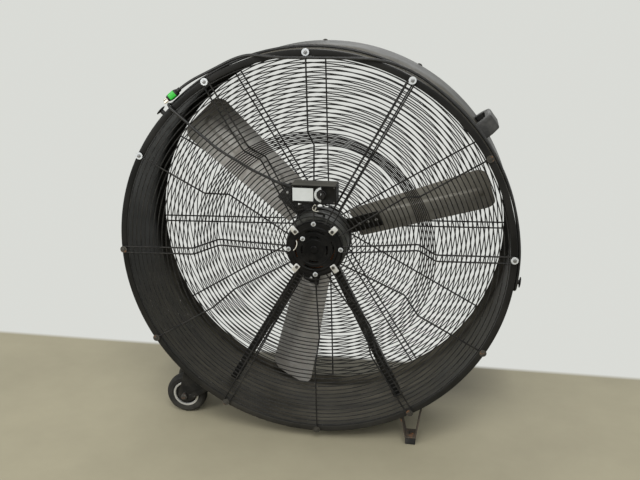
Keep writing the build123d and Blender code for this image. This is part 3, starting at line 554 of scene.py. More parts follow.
finishes = {
    "drum": drumFinish(),
    "blade": bladeFinish(),
    "cord": cordFinish(),
    "guard": workFinish(
        "guardWire", (0.006, 0.006, 0.0058), rough=(0.34, 0.5), dust=(0.15, 0.137, 0.112), dusty=0.16,
        dustScale=40, wear=0.2, shine=0.2),
    "zinc": workFinish(
        "zincPlate", (0.66, 0.66, 0.64), (0.52, 0.52, 0.50), rough=(0.26, 0.42), metal=0.6,
        dust=(0.38, 0.35, 0.30), dusty=0.22, grain=700),
    "washerZinc": workFinish(
        "washerZinc", (0.62, 0.64, 0.65), (0.50, 0.52, 0.53), rough=(0.3, 0.45), metal=0.35,
        dust=(0.45, 0.43, 0.38), dusty=0.15, grain=700),
    "screwZinc": workFinish(
        "screwZinc", (0.26, 0.26, 0.26), (0.17, 0.17, 0.17), rough=(0.28, 0.42), metal=0.7,
        dust=(0.14, 0.13, 0.11), dusty=0.25, grain=700),
    "oldZinc": workFinish(
        "oldZinc", (0.060, 0.057, 0.050), (0.032, 0.030, 0.025), rough=(0.45, 0.65), metal=0.3,
        dust=(0.085, 0.076, 0.056), dusty=0.4, rust=0.19, shine=0.25),
    "darkSteel": workFinish(
        "darkSteel", (0.040, 0.038, 0.035), rough=(0.32, 0.5), metal=0.6, dusty=0.3, rust=0.08),
    "steel": workFinish(
        "machinedSteel", (0.50, 0.49, 0.47), (0.38, 0.37, 0.36), rough=(0.25, 0.4), metal=0.95, dusty=0.15,
        stretch=(1, 8, 1)),
    "motorFace": workFinish(
        "motorFace", (0.0030, 0.0030, 0.0030), (0.005, 0.005, 0.005), rough=(0.30, 0.44), dusty=0.03,
        bump=0.08, shine=0.08),
    "motorShell": workFinish(
        "motorShell", (0.030, 0.031, 0.028), (0.065, 0.068, 0.060), rough=(0.36, 0.55),
        dust=(0.155, 0.150, 0.125), dusty=0.6, dustScale=14, shine=0.4),
    "bracket": workFinish(
        "bracketPaint", (0.006, 0.006, 0.0057), rough=(0.34, 0.5), dust=(0.10, 0.092, 0.075), dusty=0.25,
        wear=0.25, shine=0.15),
    "rustyStrap": workFinish(
        "rustyStrap", (0.022, 0.020, 0.017), (0.060, 0.048, 0.036), rough=(0.5, 0.7),
        dust=(0.16, 0.14, 0.11), dusty=0.35, wear=0.3, rust=0.16, shine=0.3),
    "tyre": workFinish(
        "tyreRubber", (0.011, 0.011, 0.0105), (0.022, 0.021, 0.019), rough=(0.55, 0.75),
        dust=(0.085, 0.08, 0.065), dusty=0.40, grain=500, bump=0.3, shine=0.18),
    "pad": workFinish(
        "padRubber", (0.009, 0.009, 0.009), rough=(0.55, 0.75), dust=(0.11, 0.105, 0.09), dusty=0.3,
        grain=450, bump=0.3, shine=0.3),
    "plastic": workFinish(
        "blackPlastic", (0.006, 0.006, 0.006), rough=(0.30, 0.44), dust=(0.14, 0.13, 0.11), dusty=0.16,
        grain=1100, bump=0.16, shine=0.22),
    "handle": workFinish(
        "handlePlastic", (0.012, 0.012, 0.0115), (0.024, 0.024, 0.023), rough=(0.42, 0.58),
        dust=(0.15, 0.145, 0.13), dusty=0.45, grain=900, bump=0.2, shine=0.4),
    "box": workFinish(
        "boxPlastic", (0.0035, 0.0035, 0.0033), (0.006, 0.006, 0.0055), rough=(0.28, 0.42),
        dust=(0.105, 0.101, 0.085), dusty=0.07, dustScale=35, topDust=(0.7818, 0.7828), wear=0.1, shine=0.10),
    "knob": workFinish(
        "knobPlastic", (0.003, 0.003, 0.0032), (0.004, 0.004, 0.004), rough=(0.10, 0.18), dusty=0.03,
        shine=0.3),
    "label": workFinish(
        "labelFoil", (0.52, 0.54, 0.53), (0.45, 0.465, 0.455), rough=(0.35, 0.5), dust=(0.30, 0.29, 0.26),
        dusty=0.18, dustScale=30, bump=0.05),
    "mark": workFinish("printInk", (0.02, 0.02, 0.02), rough=(0.4, 0.5), dusty=0.1),
    "tie": workFinish("nylonTie", (0.82, 0.80, 0.72), (0.72, 0.70, 0.62), rough=(0.35, 0.5), dusty=0.15),
    "green": workFinish(
        "greenPlastic", (0.015, 0.40, 0.025), (0.02, 0.50, 0.045), rough=(0.3, 0.45), dust=(0.2, 0.3, 0.15),
        dusty=0.10),
    "brass": workFinish("brassPins", (0.62, 0.58, 0.50), rough=(0.25, 0.4), metal=0.9, dusty=0.1),
    "copper": workFinish(
        "windingWire", (0.42, 0.17, 0.07), (0.30, 0.11, 0.04), rough=(0.3, 0.45), metal=0.6, dusty=0.3,
        grain=1500, bump=0.5),
    "core": workFinish(
        "coreSheets", (0.16, 0.16, 0.165), (0.11, 0.11, 0.11), rough=(0.4, 0.6), metal=0.7, dusty=0.3,
        stretch=(1, 30, 1)),
}
print("finishes mixed")


def makeCord():
    # the source's route, from the gland over the rim, round the right hook and back to the plug
    cord = {
        "exit": (-0.0645, -0.1350, 0.7710), "length": 3.16, "diameter": 0.0078,
        "roundness": 4, "smoothness": 8,
    }
    route = [
        (-0.0645, -0.135, 0.771), (-0.0765, -0.135, 0.771), (-0.086, -0.141, 0.776),
        (-0.104, -0.146, 0.787), (-0.137, -0.153, 0.804), (-0.175, -0.16, 0.824), (-0.203, -0.1665, 0.844),
        (-0.236, -0.169, 0.863), (-0.265, -0.169, 0.882), (-0.289, -0.169, 0.903), (-0.314, -0.169, 0.922),
        (-0.349, -0.169, 0.9541), (-0.3731, -0.1685, 0.9727), (-0.3862, -0.1675, 0.985),
        (-0.3932, -0.158, 0.9921), (-0.3903, -0.147, 0.9891), (-0.3903, -0.137, 0.9891),
        (-0.3903, -0.1275, 0.9891), (-0.3832, -0.1185, 0.9959), (-0.3687, -0.114, 1.0091),
        (-0.3448, -0.113, 1.0295), (-0.2984, -0.114, 1.0626), (-0.2113, -0.1125, 1.1079),
        (-0.1173, -0.1135, 1.1366), (-0.0197, -0.112, 1.1486), (0.0785, -0.113, 1.1435),
        (0.1743, -0.1145, 1.1213), (0.2648, -0.113, 1.0829), (0.3472, -0.1125, 1.0294),
        (0.4191, -0.114, 0.9624), (0.4783, -0.1135, 0.8838), (0.5229, -0.1125, 0.7963),
        (0.5495, -0.114, 0.7119), (0.5635, -0.112, 0.615), (0.5632, -0.1105, 0.56), (0.5598, -0.112, 0.513),
        (0.557, -0.118, 0.504), (0.557, -0.1345, 0.504), (0.5598, -0.1405, 0.513), (0.5632, -0.142, 0.56),
        (0.5638, -0.14, 0.6195), (0.5495, -0.1375, 0.7119), (0.521, -0.139, 0.8008),
        (0.4783, -0.138, 0.8838), (0.4224, -0.14, 0.9587), (0.3549, -0.138, 1.0233), (0.292, -0.142, 1.071),
        (0.2396, -0.149, 1.0989), (0.1833, -0.163, 1.1173), (0.1239, -0.1705, 1.1219),
        (0.0564, -0.1725, 1.122), (-0.0141, -0.1725, 1.1218), (-0.0753, -0.172, 1.1207),
        (-0.1244, -0.169, 1.1238), (-0.1655, -0.159, 1.1263), (-0.2132, -0.145, 1.1126),
        (-0.2705, -0.139, 1.0833), (-0.3402, -0.139, 1.0496), (-0.3634, -0.139, 1.0306),
    ]
    piece = softLine("powerCord", route, cord["diameter"], cord["roundness"], cord["smoothness"])
    return settled(piece, "cord", "power_cord", "cord_wrap"), cord


def makePlug():
    # a moulded plug in a green shell, lying on the drum beside the left hook
    plug = {
        "origin": (-0.363417, -0.139, 1.030586), "along": (-0.774944, 0, -0.632029),
        "body": (0.025, 0.0182, 0.0335), "bodyStart": 0.011, "bodyEdge": 0.005, "faceInset": 0.0025,
        "faceRaised": 0.0006, "shell": (0.0262, 0.0194, 0.0270), "shellStart": 0.0130, "shellEdge": 0.0056,
        "face": 0.0445, "pin": (0.0016, 0.0058, 0.0155), "pinMiddle": 0.0076, "pinEdge": 0.0005,
        "pins": ((-0.006, 0.002), (0.006, 0.002)), "earthPin": -0.0045,
    }
    along, side = Vector(plug["along"]), Vector((0, 1, 0))
    place = shift(*plug["origin"]) @ Matrix((side, along.cross(side), along)).transposed().to_4x4()
    size, start = plug["body"], plug["bodyStart"]
    body = block("plugBody", size, (0, 0, start + size[2] / 2), plug["bodyEdge"], segments=4)
    startEdit(body, "FACE")
    choose(body, lambda f: f.normal.z > 0.99, "faces")
    bpy.ops.mesh.inset(thickness=plug["faceInset"], depth=0)
    bpy.ops.mesh.extrude_region_move(TRANSFORM_OT_translate={"value": (0, 0, plug["faceRaised"])})
    endEdit()
    neck = turnedPiece("plugNeck", [
        (0, 0), (0.0048, 0), (0.0062, 0.0015), (0.0058, 0.004), (0.0064, 0.0052), (0.0060, 0.0080),
        (0.0074, 0.0112), (0, 0.0112)], steps=20)
    body = moved(smoothed(joined("plugBody", [body, moved(neck, turn(90, "X"))])), place)
    size, start = plug["shell"], plug["shellStart"]
    shell = moved(block("plugShell", size, (0, 0, start + size[2] / 2), plug["shellEdge"], segments=5), place)
    middle = plug["face"] + plug["pinMiddle"]
    pins = [block("pin", plug["pin"], (x, y, middle), plug["pinEdge"]) for x, y in plug["pins"]]
    earth = turnedPiece("earthPin", [
        (0, 0), (0.0022, 0), (0.0022, 0.0135), (0.0014, 0.0150), (0, 0.0150)], steps=16)
    pins.append(moved(earth, shift(0, plug["earthPin"], plug["face"]) @ turn(90, "X")))
    pins = moved(joined("plugPins", pins), place)
    return [settled(body, "plastic", "plug"), settled(shell, "green"), settled(pins, "brass")]


cordPiece, cordFacts = makeCord()
plugPieces = makePlug()
print("cord laid")


def makeDrum():
    # one sheet, bent in at both ends and hemmed back inside
    r, s, h = drum["radius"], drum["sheet"], drum["hem"]
    f, k = drum["front"], drum["back"]
    near, far = drum["intakeLip"], drum["outletLip"]
    outline = [
        (near, f + h), (near, f), (r, f), (r, k), (far, k), (far, k - h), (far + s, k - h), (far + s, k - s),
        (r - s, k - s), (r - s, f + s), (near + s, f + s), (near + s, f + h),
    ]
    bends = (1, 2, 3, 4)  # points of the outline at which the sheet is bent
    shell = turnedPiece("drumShell", outline, drum["steps"], drum["edgeBend"], bends)
    settled(moved(shell, shift(z=drum["axisHeight"])), "drum", "drum_shell")


def makeSeam():
    # lapped seam along the bottom of the drum, with its row of spot welds
    seam = {
        "angle": -95.0, "width": 0.020, "thick": 0.0010, "short": 0.010, "sunk": 0.0002, "edge": 0.0003,
        "welds": 9, "firstWeld": -0.145, "weldRadius": 0.0028, "weldTop": 0.6,
        "weldHeights": (0.0005, 0.0003),
    }
    size = (seam["width"], drum["back"] - drum["front"] - seam["short"], seam["thick"])
    strip = block("drumSeam", size, (0, 0, -seam["thick"] / 2 + seam["sunk"]), seam["edge"])
    edge, middle = seam["weldHeights"]
    rim = seam["weldRadius"]
    dot = turnedPiece("weld", [(0, 0), (rim, 0), (rim * seam["weldTop"], edge), (0, middle)], steps=14)
    moved(dot, turn(-90, "X"))
    pitch = -2 * seam["firstWeld"] / (seam["welds"] - 1)
    under = -seam["thick"] + seam["sunk"]
    places = [shift(0, seam["firstWeld"] + pitch * i, under) for i in range(seam["welds"])]
    piece = joined("drumSeam", [strip, repeated("welds", dot, places)])
    moved(piece, outwardAt(seam["angle"], drum["radius"] - drum["sheet"], 0))
    settled(piece, "drum")


makeDrum()
makeSeam()
print("drum rolled")


# wire guards, with radii round the drum's axis
guard = {
    "ringWire": 0.0032, "wireSides": 8, "barWire": 0.0045, "barSides": 10, "pitch": 0.0126, "steps": 120,
    "intakeRing": 0.5361, "flatRings": 15, "coneRings": 8, "outletRing": 0.5315, "outletRings": 39,
    # depth of the dish at three radii, and the slope of its face as a pair of cosines
    "flat": (0.343, 0.0), "dish": (0.292, 0.088), "motor": (0.082, 0.048), "slope": (0.187, 0.982),
    "intakeBars": [(0.0804, -0.11459), (0.29085, -0.07451), (0.3417, -0.16225)], "outletBars": 0.040,
    "pairGap": 0.018, "pairBend": 0.98, "pairEnd": 0.5535,
    "eye": 0.0048, "eyeIn": 0.0005, "eyeStart": 0.0105, "eyeBend": 0.0012, "screwCircle": 0.550,
}


def ringPlaces():
    # (radius, y) of each intake ring wire's middle, behind the bars
    half, front = guard["ringWire"] / 2, drum["front"]
    places = [(guard["intakeRing"] - guard["pitch"] * i, front + half) for i in range(guard["flatRings"])]
    (r0, d0), (r1, d1), (r2, d2) = guard["flat"], guard["dish"], guard["motor"]
    run, rise = r0 - r1, d1 - d0
    steep = hypot(run, rise)
    for i in range(guard["coneRings"]):
        t = (i + 0.5) / guard["coneRings"]
        radius = r0 + (r1 - r0) * t + half * rise / steep
        places.append((radius, front + d0 + rise * t + half * run / steep))
    count = round((r1 - r2) / guard["pitch"])
    inward, back = guard["slope"]
    for i in range(count):
        t = i / count
        radius = r2 + (r1 - r2) * t - half * inward
        places.append((radius, front + d2 + (d1 - d2) * t + half * back))
    return places


def spunRings(name, places):
    # a wire's section at each radius, all spun round the axis together
    section = primitive(bpy.ops.mesh.primitive_circle_add, "section", (0, 90, 0),
                        vertices=guard["wireSides"], radius=guard["ringWire"] / 2)
    rings = repeated(name, section, [shift(0, y, r) for r, y in places])
    cleaned(spun(rings, guard["steps"]))
    return smoothed(moved(rings, shift(z=drum["axisHeight"])), angle=60)


def makeBars(name, inner, front):
    # pairs of bars are one wire, bent round its screw; single bars end in an eye
    half, wire, sides = guard["pairGap"] / 2, guard["barWire"], guard["barSides"]
    out = [(r, y, half) for r, y in inner] + [(guard["pairEnd"], front, half)]
    back = [(r, y, -z) for r, y, z in reversed(out)]
    pair = pipe("pair", out + back, wire, half * guard["pairBend"], sides=sides)
    screw, size = guard["screwCircle"], guard["eye"]
    turns = [radians(180 + 30 * i) for i in range(12)]
    eye = [(screw - guard["eyeIn"] + size * cos(a), front, size * sin(a)) for a in turns]
    line = [(r, y, 0) for r, y in inner] + [(screw - guard["eyeStart"], front, 0)] + eye
    single = pipe("single", line, wire, guard["eyeBend"], sides=sides, segments=2)
    pairs = repeated("pairs", pair, [roundAxis(a) for a in screwAngles[::2]])
    singles = repeated("singles", single, [roundAxis(a) for a in screwAngles[1::2]])
    return joined(name, [pairs, singles])


def makeGuards():
    rings = spunRings("intakeGuardRings", ringPlaces())
    settled(rings, "guard", "intake_guard_rings")
    y = drum["back"] - guard["ringWire"] / 2
    places = [(guard["outletRing"] - guard["pitch"] * i, y) for i in range(guard["outletRings"])]
    settled(spunRings("outletGuardRings", places), "guard", "outlet_guard_rings")
    bar = guard["barWire"] / 2
    bars = makeBars("intakeGuardBars", guard["intakeBars"], drum["front"] - bar)
    settled(bars, "guard", "intake_guard_radials")
    y = drum["back"] + bar
    bars = makeBars("outletGuardBars", [(guard["outletBars"], y)], y)
    settled(bars, "guard", "outlet_guard_radials")
    y = drum["back"] + guard["barWire"]
    plate = turnedPiece("outletGuardCentre", [
        (0, y), (0.0455, y), (0.046, y + 0.0004), (0.0452, y + 0.0015), (0.041, y + 0.0015),
        (0.0395, y + 0.0010), (0, y + 0.0010)])
    settled(moved(plate, shift(z=drum["axisHeight"])), "bracket", "outlet_guard_centre")


def panScrew(name, radius, height, steps=20):
    # pan head with a cross recess, seated at y = 0 and facing -Y
    shape = {"slotReach": 1.1, "slotWidth": 0.26, "slotDepth": 0.6, "slotStart": 0.75}  # of radius or height
    head = turnedPiece(name, [
        (0, 0), (radius, 0), (radius, -height * 0.35), (radius * 0.86, -height * 0.78),
        (radius * 0.5, -height * 0.97), (0, -height)], steps)
    reach, width = radius * shape["slotReach"], radius * shape["slotWidth"]
    depth = height * shape["slotDepth"]
    slots = []
    for size in ((reach, depth, width), (width, depth, reach)):
        slot = block("slot", size, (0, -depth / 2, 0))
        slots.append(moved(slot, shift(0, -height * shape["slotStart"], 0)))
    return carve(head, *slots)


def makeRimScrews():
    # big washers and pan screws: the upper ones still bright, the others dull and rusty
    screw = {
        "washer": 0.010, "hole": 0.0028, "thick": 0.0016, "round": 0.0004, "head": 0.005, "height": 0.0032,
        "bright": (1.5, 61.5, 91.5, 121.5, 151.5), "brightRoll": 37, "dullRoll": 53, "outletRoll": 29,
    }
    size, hole, thick = screw["washer"], screw["hole"], screw["thick"]
    washer = turnedPiece("washer", [
        (hole, 0), (size, 0), (size, -thick * 0.8), (size - screw["round"], -thick), (hole, -thick),
    ], steps=36)
    head = moved(panScrew("screw", screw["head"], screw["height"]), shift(0, -thick, 0))
    near = drum["front"] - guard["barWire"]
    far = drum["back"] + guard["barWire"]
    circle, bright = guard["screwCircle"], screw["bright"]
    dull = [onRim(circle, a, near, screw["dullRoll"] * a) for a in screwAngles if a not in bright]
    dull += [onRim(circle, a, far, screw["outletRoll"] * a) @ turn(180, "Z") for a in screwAngles]
    bright = [onRim(circle, a, near, screw["brightRoll"] * a) for a in bright]
    washers = repeated("rimWashersBright", copyOf(washer), bright)
    screws = repeated("rimScrewsBright", copyOf(head), bright)
    settled(washers, "washerZinc", "rim_washers")
    settled(screws, "screwZinc", "rim_screws")
    settled(repeated("rimWashersDull", washer, dull), "oldZinc")
    settled(repeated("rimScrewsDull", head, dull), "oldZinc")


makeGuards()
makeRimScrews()
print("guards welded and screwed on")


motor = {
    "capFront": -0.117, "capRadius": 0.080, "capLength": 0.026, "capWall": 0.003, "dome": 0.066,
    "radius": 0.088, "end": 0.009, "ventWidth": 0.0052, "ventDepth": 0.016, "ventTurn": 2, "ventSteps": 12,
    "vents": ((0.037, 44), (0.055, 60)), "steps": 96,
}
toMotor = shift(z=drum["axisHeight"])


def ventCutter(radius, span, start):
    # a slot's section, spun through its arc
    slot = primitive(bpy.ops.mesh.primitive_plane_add, "slot", (0, 90, 0), size=1)
    size = Matrix.Diagonal((1, motor["ventDepth"], motor["ventWidth"], 1))
    moved(slot, shift(0, motor["capFront"], radius) @ size)
    moved(slot, turn(start + span / 2, "Y"))
    return cleaned(spun(slot, motor["ventSteps"], span), near=samePoint)


def makeFrontBell():
    # a raised dome with a stepped face and a bearing seat behind it, in a flat cap
    f, rim = motor["capFront"], motor["capRadius"]
    back, inner = f + motor["capLength"], rim - motor["capWall"]
    bell = turnedPiece("motorFrontBell", [
        (0, f - 0.0060), (0.0092, f - 0.0060), (0.0110, f - 0.0048), (0.0114, f - 0.0030),
        (0.0290, f - 0.0030), (0.0300, f - 0.0022), (0.0440, f - 0.0022), (0.0450, f - 0.0030),
        (0.0475, f - 0.0030), (0.0485, f - 0.0020), (0.0600, f - 0.0020), (0.0612, f - 0.0030),
        (0.0640, f - 0.0030), (motor["dome"], f - 0.0012), (0.0672, f), (0.0770, f), (rim, f + 0.0030),
        (rim, back), (inner, back), (inner, f + 0.0050), (0.0755, f + 0.0030), (0.0250, f + 0.0030),
        (0.0245, f + 0.0140), (0.0178, f + 0.0140), (0.0178, f + 0.0020), (0, f + 0.0020),
    ], motor["steps"])
    cutters = [ventCutter(radius, span, 90 * quarter + motor["ventTurn"])
               for radius, span in motor["vents"] for quarter in range(4)]
    settled(moved(carve(bell, *cutters), toMotor), "motorFace", "motor_front_bell")


def makeMotorShell():
    # a tube with a groove round it, and the bell that closes its far end
    y, end, r = motor["capFront"] + motor["capLength"], motor["end"], motor["radius"]
    shell = turnedPiece("motorShell", [
        (0.0772, y), (0.0835, y), (r, y + 0.0055), (r, y + 0.060), (0.0868, y + 0.0612), (0.0868, y + 0.0640),
        (r, y + 0.0652), (r, end), (0.085, end), (0.085, y + 0.0050), (0.0772, y + 0.0030),
    ], motor["steps"])
    settled(moved(shell, toMotor), "motorShell", "motor_shell")
    rear = turnedPiece("motorRearBell", [
        (0.0112, end), (0.0878, end), (0.0878, end + 0.0050), (0.0858, end + 0.0070), (0.0560, end + 0.0075),
        (0.0520, end + 0.0100), (0.0500, end + 0.0140), (0.0240, end + 0.0140), (0.0230, end + 0.0132),
        (0.0112, end + 0.0132),
    ], motor["steps"])
    settled(moved(rear, toMotor), "motorShell", "motor_rear_bell")


def hexHead(name, radius, height):
    # hexagon head, seated at y = 0 and facing -Y
    easing = 0.09  # of the radius
    head = primitive(bpy.ops.mesh.primitive_cylinder_add, name, (90, 0, 0),
                     vertices=6, radius=radius, depth=height)
    return soften(moved(head, shift(0, -height / 2, 0)), radius * easing)


def makeGuardClips():
    # four zinc clips that hold the guard to the motor, three of them askew, with dark socket screws
    clip = {
        "length": 0.025, "width": 0.016, "thick": 0.0025, "inner": 0.067, "corner": 0.0022, "edge": 0.0004,
        "angles": (47, 137, 227, 317), "askew": (0, 7, -4, 12), "pivot": 0.0775, "screwCircle": 0.0745,
        "screwRoll": 17, "key": 0.0024, "keyDepth": 0.004, "keyPlace": -0.0035,
    }
    thick, pivot = clip["thick"], clip["pivot"]
    middle = (clip["inner"] + clip["length"] / 2, motor["capFront"] - thick / 2, 0)
    plate = block("clip", (clip["length"], thick, clip["width"]), middle)
    startEdit(plate, "EDGE")
    choose(plate, lambda e: abs(e.verts[0].co.y - e.verts[1].co.y) > thick * 0.9, "edges")  # the four corners
    bpy.ops.mesh.bevel(offset=clip["corner"], segments=3)
    endEdit()
    soften(plate, clip["edge"])
    places = [roundAxis(a) @ shift(pivot) @ turn(askew, "Y") @ shift(-pivot)
              for a, askew in zip(clip["angles"], clip["askew"])]
    settled(repeated("guardClips", plate, places), "zinc", "guard_clips")
    head = turnedPiece("socket", [
        (0, 0), (0.0046, 0), (0.0046, -0.0030), (0.0041, -0.0035), (0, -0.0035)], steps=24)
    key = primitive(bpy.ops.mesh.primitive_cylinder_add, "key", (90, 0, 0), vertices=6,
                    radius=clip["key"], depth=clip["keyDepth"], location=(0, clip["keyPlace"], 0))
    carve(head, key)
    top, circle = motor["capFront"] - thick, clip["screwCircle"]
    places = [onRim(circle, a, top, clip["screwRoll"] * a) for a in clip["angles"]]
    settled(repeated("guardClipScrews", head, places), "darkSteel", "guard_clip_screws")


def makeTieBolts():
    # four bolts between the clips and a fifth on the dome, each on a bright washer
    bolt = {
        "circle": 0.075, "turn": 2, "roll": 11, "domeCircle": 0.0455, "domeAngle": 137, "domeRoll": 20,
        "domeHeight": 0.0030, "washerThick": 0.0013, "head": 0.0042, "height": 0.0026,
    }
    face, thick = motor["capFront"], bolt["washerThick"]
    spots = [onRim(bolt["circle"], 90 * i + bolt["turn"], face, bolt["roll"] * i) for i in range(4)]
    spots.append(onRim(bolt["domeCircle"], bolt["domeAngle"], face - bolt["domeHeight"], bolt["domeRoll"]))
    washer = turnedPiece("tieWasher", [
        (0, 0), (0.0068, 0), (0.0068, -0.0010), (0.0065, -thick), (0, -thick)], steps=28)
    settled(repeated("motorTieWashers", washer, spots), "washerZinc")
    head = moved(hexHead("bolt", bolt["head"], bolt["height"]), shift(0, -thick, 0))
    settled(repeated("motorTieBolts", head, spots), "screwZinc", "motor_through_bolts")


makeFrontBell()
makeMotorShell()
makeGuardClips()
makeTieBolts()
print("motor built")


# fan: three blades, each with a rib along it
blade = {
    "angles": (17.5, 137.5, 257.5), "y": 0.078, "pitch": 30, "root": 0.096, "tip": 0.512, "rootHalf": 0.059,
    "tipHalf": 0.081, "corner": 0.034, "bow": 0.009, "thick": 0.002, "along": 96, "across": 44,
    # the shares of the grid's columns that make the straight part and the rounded tip
    "straight": 0.85, "rounded": 0.15,
    "rivets": (0.110, 0.136, 0.162), "gap": 0.0003, "arm": 0.004,
}
rib = {"from": 0.186, "to": 0.488, "wide": 0.031, "narrow": 0.017, "deep": 0.0040, "shoulder": 0.0060}


def bladePlace(angle):
    return roundAxis(angle) @ shift(0, blade["y"], 0) @ turn(blade["pitch"], "X")


def ribDepth(r, z):
    # how far the tapered rib stands out of the blade at a place, with round ends and soft shoulders
    t = (r - rib["from"]) / (rib["to"] - rib["from"])
    wide = rib["wide"] + (rib["narrow"] - rib["wide"]) * min(max(t, 0), 1)
    inside = wide - abs(z)
    if r > rib["to"] - wide:
        inside = wide - hypot(r - rib["to"] + wide, z)
    if r < rib["from"] + wide:
        inside = wide - hypot(rib["from"] + wide - r, z)
    step = min(max(inside / rib["shoulder"], 0), 1)
    return rib["deep"] * step * step * (3 - 2 * step)


def bladeSheet(name):
    # a sheet grid, bowed upstream and rounded at the corners of its tip, with the rib pressed out of it
    sheet = primitive(bpy.ops.mesh.primitive_grid_add, name, size=2,
                      x_subdivisions=blade["along"], y_subdivisions=blade["across"])
    root, corner, bow = blade["root"], blade["corner"], blade["bow"]
    narrow, wide = blade["rootHalf"], blade["tipHalf"]
    bend = (wide ** 2 + bow ** 2) / (2 * bow)
    square = blade["tip"] - corner
    for v in sheet.data.vertices:
        along = (v.co.x + 1) / 2
        if along < blade["straight"]:
            r = root + (square - root) * along / blade["straight"]
        else:
            r = square + corner * sin((along - blade["straight"]) / blade["rounded"] * pi / 2)
        half = narrow + (wide - narrow) * (r - root) / (blade["tip"] - root)
        over = max(r - square, 0)
        half -= corner - max(corner ** 2 - over ** 2, 0) ** 0.5
        z = v.co.y * half
        y = (bend - bow) - (bend ** 2 - z ** 2) ** 0.5
        v.co = (r, y - ribDepth(r, z), z)
    wall = sheet.modifiers.new("wall", "SOLIDIFY")
    wall.thickness = blade["thick"]
    wall.offset = 0
    return smoothed(cleaned(applied(sheet, wall)), angle=40)


def makeFan():
    # three blades, and the hub with its rivets
    sheet = bladeSheet("fanBlade")
    for letter, angle in zip("ABC", blade["angles"]):
        twin = copyOf(sheet, bladePlace(angle), "fanBlade" + letter)
        settled(twin, "blade", "fan_blade_" + letter.lower(), body="fan")
    bpy.data.objects.remove(sheet)
    dressed("fan_hub", "bracket", 0.0008, body="fan")
    rivet = turnedPiece("rivet", [
        (0, 0), (0.005, 0), (0.0047, -0.0010), (0.0034, -0.0020), (0, -0.0025)], steps=20)
    seat = -(blade["bow"] + blade["thick"] / 2 + blade["gap"] + blade["arm"])
    spots = [bladePlace(a) @ shift(r, seat, 0) for a in blade["angles"] for r in blade["rivets"]]
    settled(repeated("bladeRivets", rivet, spots), "zinc", "blade_rivets", body="fan")


makeFan()
print("fan mounted")


def makeWheel(side, end):
    # rubber tyre on a zinc ring, with a dark hub plate and bearing
    wheel = {"x": -0.421006, "y": 0.054, "radius": 0.0635, "width": 0.036, "rim": 0.041, "bore": 0.00635}
    place = shift(wheel["x"], wheel["y"] * side, wheel["radius"])
    r, h, q, bore = wheel["radius"], wheel["width"] / 2, wheel["rim"], wheel["bore"]
    tyre = turnedPiece("tyre" + end.capitalize(), [
        (q, -h + 0.003), (q + 0.004, -h), (r - 0.009, -h), (r - 0.003, -h + 0.004), (r - 0.0004, -h + 0.010),
        (r, -0.0055), (r, -0.0040), (r - 0.0016, -0.0032), (r - 0.0016, 0.0032), (r, 0.0040), (r, 0.0055),
        (r - 0.0004, h - 0.010), (r - 0.003, h - 0.004), (r - 0.009, h), (q + 0.004, h), (q, h - 0.003),
    ], steps=72)
    settled(moved(tyre, place), "tyre", "tyre_" + end, body="wheel_" + end)
    ring = turnedPiece("wheelRing" + end.capitalize(), [
        (0.0335, -h + 0.0048), (0.0355, -h + 0.0022), (0.0395, -h + 0.0018), (0.0409, -h + 0.0032),
        (0.0409, h - 0.0032), (0.0395, h - 0.0018), (0.0355, h - 0.0022), (0.0335, h - 0.0048)])
    settled(moved(ring, place), "zinc", "wheel_rim_" + end, body="wheel_" + end)
    hub = turnedPiece("wheelHub" + end.capitalize(), [
        (bore, -h - 0.003), (0.0105, -h - 0.003), (0.0125, -h - 0.001), (0.0135, -h + 0.008),
        (0.0330, -h + 0.0095), (0.0334, -h + 0.0050), (0.0334, h - 0.0050), (0.0330, h - 0.0095),
        (0.0135, h - 0.008), (0.0125, h + 0.001), (0.0105, h + 0.003), (bore, h + 0.003)], steps=48)
    settled(moved(hub, place), "plastic", body="wheel_" + end)


def makeRunningGear():
    # the source's own shapes, with the width and segments of their eased edges
    gear = (
        ("wheel_fork_intake", "bracket", 0.0010, 2), ("foot_strap_intake", "rustyStrap", 0.0007, 2),
        ("wheel_fork_outlet", "bracket", 0.0010, 2), ("foot_strap_outlet", "rustyStrap", 0.0007, 2),
        ("axle_bolts", "darkSteel", 0.0008, 2), ("foot_pads", "pad", 0.0014, 3),
        ("foot_bolts", "oldZinc", 0.0005, 2), ("carry_handle", "handle", 0.0030, 4),
        ("handle_screws", "darkSteel", 0.0005, 2),
        ("motor_cradle", "bracket", 0.0006, 2), ("cradle_bolts", "darkSteel", 0.0006, 2),
    )
    for name, finish, edge, segments in gear:
        dressed(name, finish, edge, segments)


def makeHooks():
    # spools that the cord is wound round, held by a screw
    hook = {
        "angles": (138.0, -6.0), "y": -0.12625, "off": 0.0003, "post": 0.0062, "flange": 0.0148,
        "height": 0.018, "screw": 0.0040, "screwHeight": 0.0014,
    }
    post, flange, top = hook["post"], hook["flange"], hook["height"]
    spool = turnedPiece("spool", [
        (0, 0), (0.0105, 0), (0.0105, 0.0015), (post, 0.0028), (post, 0.0142), (0.0125, 0.0150),
        (flange, 0.0158), (flange, 0.0172), (0.0130, top), (0, top)], steps=32)
    screw = panScrew("hookScrew", hook["screw"], hook["screwHeight"])
    moved(screw, turn(180, "Z") @ shift(0, -top + hook["screwHeight"], 0))
    both = moved(joined("spool", [spool, screw]), turn(90, "X"))
    places = [outwardAt(a, drum["radius"] + hook["off"], hook["y"]) for a in hook["angles"]]
    settled(repeated("cordHooks", both, places), "plastic", "cord_hooks")


makeWheel(-1, "intake")
makeWheel(1, "outlet")
makeRunningGear()
makeHooks()
print("running gear and handle fitted")


